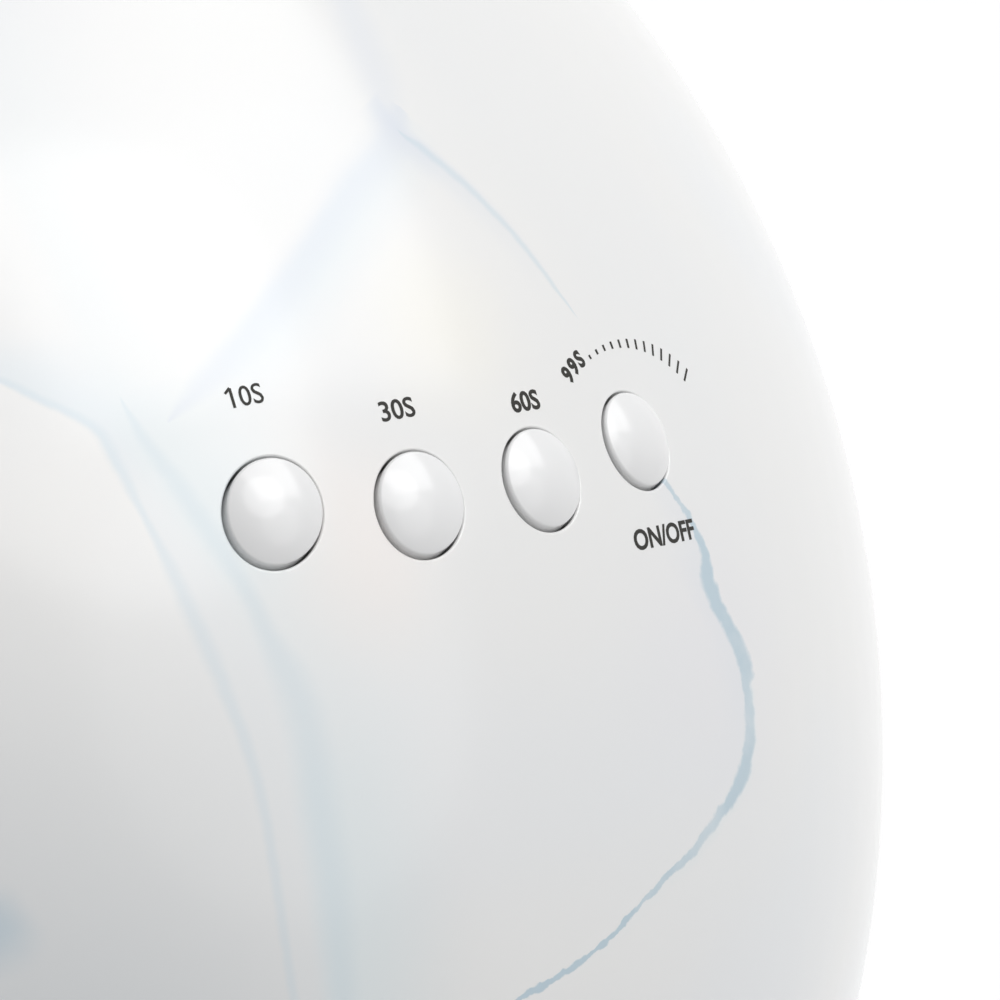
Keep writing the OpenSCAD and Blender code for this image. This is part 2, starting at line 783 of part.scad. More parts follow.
module base_frame() {
    color("whitesmoke") placed() difference() {
        union() {
            difference() {
                intersection() {
                    dome(wall + gap);
                    above(deck_z, seat_z);
                }
                bowl_plate(0, 0, big);
                arch(return_t + gap, mouth_y + gap);
            }
            posts([[-post_x, post_y], [post_x, post_y]], seat_z - 1, post_r, post_h + 1);
        }
        for (turn = screw_turns) {
            post(ring_pt(turn, lug_z), 0, screw_r + shank_gap, big / 4);
            post(ring_pt(turn, lug_z), 0, frame_head.x + gap, deck_z + frame_sink);
        }
        for (turn = magnet_turns)
            post(ring_pt(turn, lug_z), 0, magnet_r + magnet_gap, deck_z + magnet_t + magnet_skin);
        posts([[-post_x, post_y], [post_x, post_y]], seat_z - 2, board_screw_r + screw_gap, big / 4);
    }
}

module frame_screws() {
    color("silver") placed()
        for (turn = screw_turns)
            screw(ring_pt(turn, lug_z), deck_z + frame_sink, screw_r, frame_head.x, frame_head.y,
                frame_t + lug_t + frame_bite);
}

module frame_magnets() {
    color("silver") placed()
        for (turn = magnet_turns) post(ring_pt(turn, lug_z), deck_z + magnet_skin, magnet_r, magnet_t);
}

module tray_magnets() {
    color("silver") placed()
        for (turn = magnet_turns)
            post(ring_pt(turn, lug_z), deck_z - magnet_skin - magnet_t, magnet_r, magnet_t);
}

function foot_xy(turn) = [foot_in * half_w * cos(turn), foot_in * half_d * sin(turn)];

module tray_feet() {
    color("dimgray") placed()
        for (turn = foot_turns) post(foot_xy(turn), 0, foot_r, foot_h + foot_sink);
}

// The tray's outline: the dome's own, with a gentle arc between the legs
module front_arc(inset, z, h) {
    translate([0, front_y + front_r, z]) cylinder(r = front_r - inset, h = h, $fn = smooth * 2);
}

module base_tray() {
    color("white") placed() difference() {
        union() {
            intersection() {
                dome(0);
                above(tray_z, deck_z);
                front_arc(0, 0, big);
            }
            intersection() {
                difference() {
                    bowl_plate(0.6, deck_z - 1, ridge_h + 1);
                    bowl_plate(2.4, 0, big);
                }
                translate([-big / 2, mouth_y + 3, 0]) cube(big);
            }
        }
        for (turn = magnet_turns)
            post(ring_pt(turn, lug_z), deck_z - magnet_skin - magnet_t, magnet_r + magnet_gap, big);
        for (turn = foot_turns) post(foot_xy(turn), 0, foot_r + 0.2, tray_z + foot_sink);
        // Finger grips under both edges
        for (s = [-1, 1]) translate([s * half_w, 0, tray_z - 1]) plate([6, 13], 4, 1 + tray_t * 0.55);
    }
}

module mirror_sheet() {
    color("lightsteelblue") placed() intersection() {
        bowl_plate(2.8, deck_z, mirror_t);
        front_arc(4, 0, big);
    }
}

// Power

module power_board() {
    color("darkgreen") placed() difference() {
        intersection() {
            dome(wall + 2);
            above(power_low, power_top);
            translate([-power_w / 2, 0, 0]) cube([power_w, big, big]);
        }
        ellipsoid(bowl_c, bowl_q(bowl_t + 2));
        posts([[-post_x, post_y], [post_x, post_y]], 0, board_screw_r + shank_gap, big);
    }
}

module power_screws() {
    color("silver") placed() for (s = [-1, 1]) {
        post([s * post_x, post_y], power_top, board_head.x, board_head.y);
        post([s * post_x, post_y], seat_z - post_bite, board_screw_r, power_top - seat_z + 1.5 * post_bite);
    }
}

module along_y(y, z) {
    translate([0, y, z]) rotate([-90, 0, 0]) children();
}

module power_jack() {
    bore_end = jack_nose_end - 11;
    color("black") placed() {
        difference() {
            union() {
                translate([-jack_w / 2, jack_face - jack_l, power_top]) cube([jack_w, jack_l, jack_h]);
                along_y(jack_face - 1, jack_z)
                    cylinder(r = jack_nose_r, h = jack_nose_end - jack_face + 1, $fn = 64);
            }
            along_y(bore_end, jack_z) cylinder(r = jack_bore_r, h = 20, $fn = 48);
        }
        along_y(bore_end - 1, jack_z) cylinder(r = jack_pin_r, h = 11, $fn = 32);
    }
}

function cap_y(x, r) = bowl_back(x, power_top, bowl_t + 2) + r + 0.5;

module capacitors() {
    small_r = 0.8 * capacitor_r;
    x = -3 * capacitor_r;
    small_x = x - capacitor_r - small_r - 0.5;
    color("navy") placed() {
        post([x, cap_y(x, capacitor_r)], power_top, capacitor_r, capacitor_h);
        post([small_x, cap_y(small_x, small_r)], power_top, small_r, 0.75 * capacitor_h);
    }
}

module choke() {
    place = 13;
    ring_r = 4;
    wound_r = 2;
    color("darkorange") placed() translate([place, cap_y(place, ring_r + wound_r), power_top + wound_r])
        rotate_extrude($fn = 64) translate([ring_r, 0]) circle(r = wound_r, $fn = 32);
}

base_tray();
mirror_sheet();
tray_magnets();
tray_feet();
top_shell();
base_frame();
frame_magnets();
frame_screws();
reflector_liner();
led_board(0);  // ceiling_led_board
led_board(1);  // left_led_board
led_board(2);  // right_led_board
led_board(3);  // back_led_board
leds(0);  // ceiling_leds
leds(1);  // left_leds
leds(2);  // right_leds
leds(3);  // back_leds
led_board_screws();
hand_sensor();
control_board();
control_screws();
controller_chip();
switch_housings();
display_module();
display_mask();
board_connectors();
left_cable();
right_cable();
back_cable();
control_cable();
power_cable();
power_board();
power_screws();
power_jack();
capacitors();
choke();
button(0);  // button_10s
button(1);  // button_30s
button(2);  // button_60s
button(3);  // button_99s
plunger(0);  // plunger_10s
plunger(1);  // plunger_30s
plunger(2);  // plunger_60s
plunger(3);  // plunger_99s
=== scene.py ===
import math

import bpy
import numpy as np
from mathutils import Matrix, Vector
from mathutils.geometry import delaunay_2d_cdt


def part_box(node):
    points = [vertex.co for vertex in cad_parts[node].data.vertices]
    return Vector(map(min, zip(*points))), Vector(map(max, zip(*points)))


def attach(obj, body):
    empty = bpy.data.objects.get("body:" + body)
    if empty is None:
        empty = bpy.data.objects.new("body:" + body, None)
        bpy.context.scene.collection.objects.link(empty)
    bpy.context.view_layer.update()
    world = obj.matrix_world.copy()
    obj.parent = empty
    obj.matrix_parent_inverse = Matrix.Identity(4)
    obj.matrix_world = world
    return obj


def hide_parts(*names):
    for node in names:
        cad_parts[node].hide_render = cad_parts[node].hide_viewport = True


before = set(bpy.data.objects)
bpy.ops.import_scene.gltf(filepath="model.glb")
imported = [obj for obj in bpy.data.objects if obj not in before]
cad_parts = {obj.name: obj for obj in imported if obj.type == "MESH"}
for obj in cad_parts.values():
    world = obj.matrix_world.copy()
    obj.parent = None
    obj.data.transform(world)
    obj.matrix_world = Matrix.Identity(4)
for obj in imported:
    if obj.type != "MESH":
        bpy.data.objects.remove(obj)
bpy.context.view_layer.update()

# Camera. It stands where the picture was taken, close above the lamp's front left, with a long
# lens, and is rolled so that the row of buttons climbs to the right.
look = Vector((0.63390706, 0.31643614, -0.70571241))
upright = Vector((0.1580463, 0.84021436, 0.51871109))
camera = bpy.data.objects.new("camera", bpy.data.cameras.new("camera"))
camera.matrix_world = Matrix((look.cross(upright), upright, -look)).transposed().to_4x4()
camera.location = (-0.1308, -0.120705, 0.23578)
camera.data.sensor_width = 36
camera.data.lens = 99.36
camera.data.clip_start = 0.01
bpy.context.scene.collection.objects.link(camera)
bpy.context.scene.camera = camera
bpy.context.scene.view_settings.view_transform = "Standard"


# Floor. A plain table top of matt white laminate, which the lamp stands on. It is seen as white
# but keeps part of the lamp's shadow.
def new_material(name):
    material = bpy.data.materials.new(name)
    material.use_nodes = True
    return material, material.node_tree, material.node_tree.nodes["Principled BSDF"]


def put(tree, kind, inputs=None, **settings):
    """Adds a node to a material, and sets or links its inputs."""
    node = tree.nodes.new("ShaderNode" + kind)
    for key, value in settings.items():
        setattr(node, key, value)
    for key, value in (inputs or {}).items():
        if isinstance(value, bpy.types.NodeSocket):
            tree.links.new(value, node.inputs[key])
        else:
            node.inputs[key].default_value = value
    return node


def seen_rays(tree):
    """1 for rays that come from the eye or from a mirror or glass, and 0 for those that carry light."""
    path = put(tree, "LightPath")
    mirrored = put(tree, "Math", {0: path.outputs["Is Camera Ray"], 1: path.outputs["Is Glossy Ray"]},
                   operation="MAXIMUM")
    clear = put(tree, "Math", {0: mirrored.outputs[0], 1: path.outputs["Is Transmission Ray"]},
                operation="MAXIMUM")
    return clear.outputs[0]


floor_mesh = bpy.data.meshes.new("floor")
reach = 6.0
shadow_reach, plain_from = 0.25, 1.0
floor_mesh.from_pydata([(-reach, -reach, 0), (reach, -reach, 0), (reach, reach, 0), (-reach, reach, 0)],
                       [], [(0, 1, 2, 3)])
floor = bpy.data.objects.new("floor", floor_mesh)
bpy.context.scene.collection.objects.link(floor)
floor_white, tree, shader = new_material("floor_white")
shader.inputs["Base Color"].default_value = (0.86, 0.86, 0.86, 1)
shader.inputs["Roughness"].default_value = 0.7
shader.inputs["Specular IOR Level"].default_value = 0.0
place = put(tree, "TexCoord").outputs["Object"]
far = put(tree, "VectorMath", {0: place}, operation="LENGTH").outputs["Value"]
far = put(tree, "MapRange", {0: far, 1: shadow_reach, 2: plain_from, 3: 0.0, 4: 1.0},
          interpolation_type="SMOOTHSTEP").outputs[0]
strength = put(tree, "MapRange", {0: far, 3: 1.06, 4: 1.0}).outputs[0]
glow = put(tree, "Emission", {"Color": (1, 1, 1, 1), "Strength": strength})
share = put(tree, "MapRange", {0: far, 3: 0.8, 4: 1.0}).outputs[0]
share = put(tree, "Math", {0: seen_rays(tree), 1: share}, operation="MULTIPLY")
blend = put(tree, "MixShader", {0: share.outputs[0], 1: shader.outputs[0], 2: glow.outputs[0]})
tree.links.new(blend.outputs[0], tree.nodes["Material Output"].inputs["Surface"])
floor_mesh.materials.append(floor_white)

# Light. A white room, with a large soft box above the lamp's far right corner, whose blurred
# reflection is the bright patch on the dome, and wide round fills overhead and at the right.
world = bpy.data.worlds.new("room")
bpy.context.scene.world = world
world.use_nodes = True
tree = world.node_tree
tree.nodes.clear()
room = put(tree, "Background", {"Color": (1, 1, 1, 1), "Strength": 0.29})
white = put(tree, "Background", {"Color": (1, 1, 1, 1), "Strength": 1.0})
blend = put(tree, "MixShader", {0: seen_rays(tree), 1: room.outputs[0], 2: white.outputs[0]})
tree.links.new(blend.outputs[0], put(tree, "OutputWorld").inputs["Surface"])


lamp_distance, aim_height = 1.3, 0.06


def soft_box(name, azimuth, elevation, size, watts, shape="DISK"):
    """A soft lamp that faces the object from a direction given in degrees."""
    data = bpy.data.lights.new(name, "AREA")
    data.shape = shape
    data.size, data.energy = size, watts
    a, e = math.radians(azimuth), math.radians(elevation)
    out = Vector((math.cos(e) * math.cos(a), math.cos(e) * math.sin(a), math.sin(e)))
    lamp = bpy.data.objects.new(name, data)
    lamp.location = out * lamp_distance + Vector((0, 0, aim_height))
    across = Vector((0, 1, 0)).cross(out).normalized()
    lamp.rotation_euler = Matrix((across, out.cross(across), out)).transposed().to_euler()
    bpy.context.scene.collection.objects.link(lamp)


soft_box("key_box", 50, 65, 1.15, 7.2, "SQUARE")
soft_box("overhead_fill", 0, 90, 1.0, 4.2)
soft_box("right_fill", 0, 65, 1.0, 0.7)
soft_box("front_fill", 290, 60, 1.0, 1.6)


# Base tray. The plate that the lamp stands on and lifts off. It is injection moulded in white
# plastic with a fine satin grain, and magnets hold it to the lamp.
def moulded(name, colour, roughness, grain=900, depth=0.00001, drift=0.02, metallic=0.0, coat=0.0):
    """A finish whose colour and gloss drift a little from place to place, over a fine grain."""
    material, tree, shader = new_material(name)
    place = put(tree, "TexCoord").outputs["Object"]
    broad = put(tree, "TexNoise", {"Vector": place, "Scale": 35.0, "Detail": 4.0}).outputs["Fac"]
    fine = put(tree, "TexNoise", {"Vector": place, "Scale": grain, "Detail": 3.0}).outputs["Fac"]
    dark = [c * (1 - drift) for c in colour] + [1]
    light = [min(1, c * (1 + drift)) for c in colour] + [1]
    tone = put(tree, "Mix", {0: broad, 6: dark, 7: light}, data_type="RGBA")
    tree.links.new(tone.outputs[2], shader.inputs["Base Color"])
    gloss = put(tree, "MapRange", {0: broad, 3: roughness * 0.88, 4: roughness * 1.12})
    tree.links.new(gloss.outputs[0], shader.inputs["Roughness"])
    bump = put(tree, "Bump", {"Height": fine, "Distance": depth, "Strength": 0.5})
    tree.links.new(bump.outputs[0], shader.inputs["Normal"])
    shader.inputs["Metallic"].default_value = metallic
    shader.inputs["Coat Weight"].default_value = coat
    shader.inputs["Coat Roughness"].default_value = 0.04
    return material


def dress(material, *nodes):
    """Gives CAD nodes a finish."""
    for name in nodes:
        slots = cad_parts[name].data.materials
        slots.clear()
        slots.append(material)


dress(moulded("tray_satin_white", (0.86, 0.865, 0.87), 0.38, grain=1600), "base_tray")

# Mirror sheet. The floor of the hand space, which throws the light back up under the nails. It is
# silvered film, cut to the tray's shape and stuck on.
dress(moulded("silvered_film", (0.9, 0.91, 0.92), 0.06, grain=60, depth=0.00002, metallic=1.0),
      "mirror_sheet")

# Magnets. Four discs in the tray and four in the frame above it, which hold the two together.
# They are nickel plated, and pressed into blind holes.
dress(moulded("bright_nickel", (0.78, 0.77, 0.74), 0.22, grain=500, metallic=1.0),
      "tray_magnets", "frame_magnets")

# Feet. Four discs that keep the tray from sliding. They are punched from soft grey rubber and
# glued into shallow recesses under the tray.
dress(moulded("grey_rubber", (0.06, 0.06, 0.065), 0.75, grain=2500, depth=0.00004), "tray_feet")

# Base frame. The ring that closes the shell from below and carries the magnets. It is moulded in
# white plastic and screwed up into the shell.
dress(moulded("frame_white", (0.84, 0.84, 0.85), 0.5, grain=1200, depth=0.00003), "base_frame")


# Screws. Pan heads of zinc-plated steel that hold the frame, the boards and the reflector. Their
# threads cut themselves into plain bosses.
def turned_steel(name, colour, roughness):
    """Brushed metal: fine streaks along one direction, with a little dirt in them."""
    material, tree, shader = new_material(name)
    place = put(tree, "TexCoord").outputs["Object"]
    stretch = put(tree, "Mapping", {"Vector": place, "Scale": (3000.0, 3000.0, 60.0)}).outputs[0]
    streaks = put(tree, "TexNoise", {"Vector": stretch, "Scale": 1.0, "Detail": 2.0}).outputs["Fac"]
    tone = put(tree, "Mix", {0: streaks, 6: [c * 0.85 for c in colour] + [1], 7: list(colour) + [1]},
               data_type="RGBA")
    tree.links.new(tone.outputs[2], shader.inputs["Base Color"])
    gloss = put(tree, "MapRange", {0: streaks, 3: roughness * 0.7, 4: roughness * 1.3})
    tree.links.new(gloss.outputs[0], shader.inputs["Roughness"])
    shader.inputs["Metallic"].default_value = 1.0
    return material


dress(turned_steel("screw_zinc", (0.66, 0.66, 0.65), 0.3),
      "frame_screws", "led_board_screws", "control_screws", "power_screws")

# Reflector. The bowl over the hand, with a flared hole for each LED. It is moulded plastic, sprayed
# silver, whose skin keeps the slight ripple of the moulding.
dress(moulded("silvered_bowl", (0.86, 0.87, 0.89), 0.34, grain=90, depth=0.00005, metallic=0.7,
              coat=0.3), "reflector_liner")


# Circuit boards. Glass-fibre boards under solder mask: white behind the LEDs, green for the
# control and power boards, with copper tracks that show through the mask.
def solder_mask(name, mask, track, roughness):
    material, tree, shader = new_material(name)
    place = put(tree, "TexCoord").outputs["Object"]
    cells = put(tree, "TexBrick", {"Vector": place, "Scale": 140.0, "Mortar Size": 0.06,
                                   "Color1": list(mask) + [1], "Color2": list(mask) + [1],
                                   "Mortar": list(track) + [1]})
    cloud = put(tree, "TexNoise", {"Vector": place, "Scale": 90.0, "Detail": 2.0}).outputs["Fac"]
    share = put(tree, "MapRange", {0: cloud, 1: 0.48, 2: 0.52})
    tone = put(tree, "Mix", {0: share.outputs[0], 6: list(mask) + [1], 7: cells.outputs["Color"]},
               data_type="RGBA")
    tree.links.new(tone.outputs[2], shader.inputs["Base Color"])
    bump = put(tree, "Bump", {"Height": tone.outputs[2], "Distance": 0.00005, "Strength": 0.4})
    tree.links.new(bump.outputs[0], shader.inputs["Normal"])
    shader.inputs["Roughness"].default_value = roughness
    return material


dress(solder_mask("white_mask", (0.82, 0.83, 0.82), (0.7, 0.71, 0.7), 0.35),
      "ceiling_led_board", "left_led_board", "right_led_board", "back_led_board")
dress(solder_mask("green_mask", (0.02, 0.16, 0.07), (0.05, 0.3, 0.12), 0.3),
      "control_board", "power_board")

# LEDs. Each is a square package soldered flat to its board: a chamfered ceramic foot with a marked
# corner and three tinned leads on two sides, and a domed clear lens with the violet of its die.
def lay_out(frames, local):
    """Copies a closed solid, given as rings of points, to each place on the boards."""
    points, faces = [], []
    n = len(local[0])
    for origin, right, up, normal in frames:
        start = len(points) * n
        for row in local:
            points.append(origin + row @ np.stack([right, up, normal]))
        for r in range(len(local) - 1):
            this, following = start + r * n, start + (r + 1) * n
            for i in range(n):
                j = (i + 1) % n
                faces.append((this + i, following + i, following + j, this + j))
        faces.append(tuple(start + i for i in range(n)))
        faces.append(tuple(start + (len(local) - 1) * n + i for i in reversed(range(n))))
    return np.concatenate(points), faces


def solid(name, parts, material, body, smooth_above=0):
    """One piece from closed solids. Faces with fewer corners than smooth_above are shaded smooth."""
    points, faces = [], []
    for p, f in parts:
        start = sum(len(q) for q in points)
        points.append(p)
        faces += [tuple(i + start for i in face) for face in f]
    mesh = bpy.data.meshes.new(name)
    mesh.from_pydata(np.concatenate(points) / 1000, [], faces)
    mesh.polygons.foreach_set("use_smooth", [len(f) < smooth_above for f in faces])
    mesh.materials.append(material)
    piece = bpy.data.objects.new(name, mesh)
    bpy.context.scene.collection.objects.link(piece)
    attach(piece, body)
    return piece


led_foot, led_t, lens_r, lens_drop, board_t = 5.0, 1.0, 2.2, 1.5, 1.6
lead_w, lead_out, lead_t, lead_pitch = 0.8, 0.25, 0.3, 1.4
plain_corner, marked_corner = 0.3, 0.9
tilt = math.radians(55)
panels = {
    "ceiling": ((0, 0, 1), 17.0, 12.0, (3, 2, 3, 2, 3)),
    "left": ((-math.sin(tilt), 0, math.cos(tilt)), 13.0, 13.0, (3, 4)),
    "right": ((math.sin(tilt), 0, math.cos(tilt)), 13.0, 13.0, (3, 4)),
    "back": ((0, math.sin(tilt), math.cos(tilt)), 13.0, 13.0, (2, 3)),
}
violet_lens = moulded("violet_lens", (0.74, 0.68, 0.95), 0.12, grain=300, coat=1.0)
half = led_foot / 2
corners = [(1, 1, plain_corner), (-1, 1, plain_corner), (-1, -1, plain_corner), (1, -1, marked_corner)]
foot = []
for sx, sy, c in corners:
    ends = [(sx * half, sy * (half - c)), (sx * (half - c), sy * half)]
    foot += ends if sx * sy > 0 else ends[::-1]
foot = np.array(foot)
foot_rows = [np.column_stack([foot * k, np.full(8, z)])
             for k, z in ((1, 0), (1, -0.85 * led_t), (0.95, -led_t))]
turn = np.arange(32) * np.pi / 16
circle = np.stack([np.cos(turn), np.sin(turn)], -1)
lens_profile = [(lens_r + 0.2, -led_t + 0.05), (lens_r + 0.2, -led_t - 0.12), (lens_r + 0.08, -led_t - 0.22)]
lens_profile += [(lens_r * math.cos(a), -lens_drop - lens_r * math.sin(a))
                 for a in np.linspace(-0.1, 1.5, 12)]
lens_rows = [np.column_stack([circle * r, np.full(32, z)]) for r, z in lens_profile]
feet, leads = [], []
for name, (normal, pitch_x, pitch_y, rows) in panels.items():
    low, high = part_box(f"{name}_led_board")
    normal = np.array(normal, float)
    right = np.cross((0, 1, 0), normal)
    up = np.cross(normal, right)
    middle = np.array(low + high) * 500 - normal * board_t / 2
    frames = []
    for r, count in enumerate(rows):
        for k in range(count):
            x, y = (k - (count - 1) / 2) * pitch_x, (r - (len(rows) - 1) / 2) * pitch_y
            if name in ("left", "right"):
                x, y = y, x
            frames.append((middle + x * right + y * up, right, up, normal))
    feet.append(lay_out(frames, foot_rows))
    for sx in (-1, 1):
        for sy in (-lead_pitch, 0, lead_pitch):
            root, tip = sx * half, sx * (half + lead_out)
            low_y, high_y = sy - lead_w / 2, sy + lead_w / 2
            tab = np.array([(root, low_y), (tip, low_y), (tip, high_y), (root, high_y)])[::sx]
            leads.append(lay_out(frames, [np.column_stack([tab, np.full(4, z)]) for z in (0, -lead_t)]))
    lenses = solid(f"lenses_{name}", [lay_out(frames, lens_rows)], violet_lens, "lamp", 30)
    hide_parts(f"{name}_leds")
solid("led_feet", feet, moulded("led_ceramic", (0.8, 0.8, 0.77), 0.4, grain=2500), "lamp")
solid("led_leads", leads, moulded("tinned_lead", (0.7, 0.7, 0.69), 0.3, grain=900, metallic=1.0),
      "lamp")

# Hand sensor. An infrared emitter and its receiver in the ceiling, which switch the lamp on for a
# hand. Both are domes of dark resin, soldered to the ceiling board.
dress(moulded("infrared_dome", (0.02, 0.012, 0.03), 0.1, coat=1.0), "hand_sensor")

# Controls under the shell. The controller, the tact switches with their plungers, and the display
# with the black mask that carries its light up to the shell. All are moulded plastic bodies,
# soldered to the control board.
dress(moulded("epoxy_black", (0.02, 0.02, 0.022), 0.45, grain=2000, depth=0.00003),
      "controller_chip", "switch_housings", "display_mask", "power_jack")
dress(moulded("switch_grey", (0.08, 0.08, 0.085), 0.5, grain=1500),
      "display_module", "plunger_10s", "plunger_30s", "plunger_60s", "plunger_99s")

# Wiring. The cables between the boards are flat ribbons under grey vinyl, and end in moulded ivory
# nylon connectors that plug into every board.
dress(moulded("nylon_ivory", (0.8, 0.76, 0.64), 0.5, grain=1200), "board_connectors")
dress(moulded("cable_grey", (0.3, 0.31, 0.33), 0.55, grain=1200),
      "left_cable", "right_cable", "back_cable", "control_cable", "power_cable")

# Power parts. Capacitors in shrunk navy sleeves, and a choke wound with enamelled copper wire, all
# soldered to the power board.
dress(moulded("sleeve_navy", (0.02, 0.03, 0.1), 0.3, grain=400), "capacitors")
dress(turned_steel("enamelled_copper", (0.62, 0.28, 0.12), 0.3), "choke")


# Shell. The egg-shaped cover, injection moulded in white ABS: a dome with an arched mouth, a
# return wall behind the mouth, rolled edges round its holes, and a guide tube under each button.
half_axes = np.array([102.0, 115.5, 106.7])
dome_middle = np.array([0.0, -12.864, -10.7])
middling_r, wall = 106, 2.6
foot_h, tray_t, shadow_gap = 2.0, 3.0, 0.6
skirt_z = foot_h + tray_t + shadow_gap - dome_middle[2]
mouth_wide, mouth_high, mouth_z = 72.0, 57.0, foot_h - dome_middle[2]
return_t, return_end = 2.2, -61.508
hole_r, tube_r = 3.89, 5.19
tube_end = 82.43 - dome_middle[2]
lip_r, hole_edge_r, slot_edge_r = 0.7, 0.18, 0.25
button_xy = np.array([(-17.871, -38.852), (-6.018, -40.911), (6.018, -40.911), (17.871, -38.852)])
port_r, port_z = 4.5, 21.1 - dome_middle[2]
vent_w, vent_h, vent_pitch, vent_n, vent_z = 1.8, 13.0, 5.0, 9, 40.1 - dome_middle[2]


def skin_normal(points, inset=0.0):
    n = points / (half_axes - inset) ** 2
    return n / np.linalg.norm(n, axis=-1, keepdims=True)


def on_skin(flat, axis, side, inset=0.0):
    """Points of the dome over points of a plane that lies across one axis."""
    q = half_axes - inset
    a, b = [i for i in range(3) if i != axis]
    out = np.empty((len(flat), 3))
    out[:, a], out[:, b] = flat[:, 0], flat[:, 1]
    out[:, axis] = side * q[axis] * np.sqrt(1 - (flat[:, 0] / q[a]) ** 2 - (flat[:, 1] / q[b]) ** 2)
    return out


def rolled_edge(outline, away, axis, side, radius, steps):
    """Rows of points and normals where the dome rolls over into a hole, from skin to hole wall."""
    across = [i for i in range(3) if i != axis]
    centre = outline + away * radius
    flat = centre.copy()
    for _ in range(25):
        top = on_skin(flat, axis, side)
        n = skin_normal(top)
        flat = centre + radius * n[:, across]
    ball = top - radius * n
    inward = np.zeros_like(ball)
    inward[:, across] = -away
    angle = np.arccos((n * inward).sum(-1))[:, None]
    rows = []
    for s in np.linspace(0, 1, steps + 1):
        d = (np.sin((1 - s) * angle) * n + np.sin(s * angle) * inward) / np.sin(angle)
        rows.append((ball + radius * d, d))
    return rows


shell_parts = []


def add_patch(points, normals, faces):
    """Keeps a patch of the shell, with each face turned to its normals' side."""
    points, normals = np.asarray(points, float), np.asarray(normals, float)
    kept = []
    for f in faces:
        p = points[list(f)]
        turn = np.cross(p[1] - p[0], p[2] - p[0]) + (np.cross(p[2] - p[0], p[3] - p[0]) if len(f) > 3 else 0)
        kept.append(tuple(f) if turn @ normals[list(f)].sum(0) >= 0 else tuple(reversed(f)))
    shell_parts.append((points, normals, kept))


def join_rows(rows, closed):
    """Quads between rows of points that have equal numbers."""
    n = len(rows[0][0])
    faces = [(r * n + i, r * n + (i + 1) % n, (r + 1) * n + (i + 1) % n, (r + 1) * n + i)
             for r in range(len(rows) - 1) for i in range(n if closed else n - 1)]
    add_patch(np.concatenate([r[0] for r in rows]), np.concatenate([r[1] for r in rows]), faces)


def flatten(points, inset):
    """The dome laid out flat round its pole, in radians."""
    q = half_axes - inset
    t = np.arccos(np.clip(points[:, 2] / q[2], -1, 1))
    return points[:, :2] / q[:2] * (t / np.maximum(np.sin(t), 1e-9))[:, None]


def unflatten(flat, inset):
    q = half_axes - inset
    t = np.linalg.norm(flat, axis=1)
    k = np.sin(t) / np.maximum(t, 1e-9)
    return np.stack([flat[:, 0] * k * q[0], flat[:, 1] * k * q[1], np.cos(t) * q[2]], -1)


def inside(points, loop):
    """Which points of the plane lie in a closed loop."""
    x, y = points[:, 0][:, None], points[:, 1][:, None]
    x0, y0 = loop[:, 0][None], loop[:, 1][None]
    x1, y1 = np.roll(x0, -1, 1), np.roll(y0, -1, 1)
    cross = ((y0 > y) != (y1 > y)) & (x < (x1 - x0) * (y - y0) / np.where(y1 == y0, 1e-12, y1 - y0) + x0)
    return cross.sum(1) % 2 == 1


def fill_skin(border, holes, inset, spacing, side, rings=()):
    """Covers the dome between its border and its holes with small triangles."""
    loops = [border, *holes]
    flats = [flatten(p, inset) for p in loops]
    step = spacing / middling_r
    edge = np.concatenate(flats)
    xs = np.arange(-1.5, 1.5, step)
    grid = np.array([(x + (j % 2) * step / 2, y) for j, y in enumerate(np.arange(-1.5, 1.5, step * 0.866))
                     for x in xs])
    extra = [flatten(r, inset) for r in rings]
    near = np.concatenate([edge, *extra]) if extra else edge
    keep = inside(grid, flats[0])
    for f in flats[1:]:
        keep &= ~inside(grid, f)
    grid = grid[keep]
    clear = np.ones(len(grid), bool)
    for k in range(0, len(grid), 2000):
        d = np.linalg.norm(grid[k:k + 2000, None] - near[None], axis=2).min(1)
        clear[k:k + 2000] = d > step * 0.6
    flat = np.concatenate([edge, *extra, grid[clear]])
    points = np.concatenate([*loops, *rings, unflatten(grid[clear], inset)])
    edges, start = [], 0
    for f in flats:
        n = len(f)
        edges += [(start + i, start + (i + 1) % n) for i in range(n)]
        start += n
    made = delaunay_2d_cdt([Vector(p) for p in flat], edges, [], 0, 1e-9)
    source = np.array([o[0] for o in made[3]])
    triangles = source[np.array([tuple(f) for f in made[2]])]
    middle = flat[triangles].mean(1)
    keep = inside(middle, flats[0])
    for f in flats[1:]:
        keep &= ~inside(middle, f)
    add_patch(points, side * skin_normal(points, inset), [tuple(t) for t in triangles[keep]])


def ring(n, radius, centre=(0, 0)):
    turn = np.arange(n) * 2 * np.pi / n
    out = np.stack([np.cos(turn), np.sin(turn)], -1)
    return out * radius + np.array(centre), out


def skirt_arc(corner, inset, n):
    """The lower edge of the dome, from the left leg round the back to the right leg."""
    q = half_axes - inset
    k = math.sqrt(1 - (skirt_z / q[2]) ** 2)
    start = math.atan2(corner[1] / q[1], corner[0] / q[0])
    turn = np.linspace(math.pi - start, start, n)
    return np.stack([np.cos(turn) * q[0] * k, np.sin(turn) * q[1] * k, np.full(n, skirt_z)], -1)


def cut_at_skirt(points, normals, n):
    """A row round the mouth, from where it leaves the skirt at the right to where it meets it again
    at the left."""
    half_n = len(points) // 2
    right = np.interp(skirt_z, points[:half_n, 2], np.arange(half_n))
    at = np.linspace(right, len(points) - 1 - right, n)
    index = np.arange(len(points))
    return (np.stack([np.interp(at, index, points[:, i]) for i in range(3)], -1),
            np.stack([np.interp(at, index, normals[:, i]) for i in range(3)], -1))


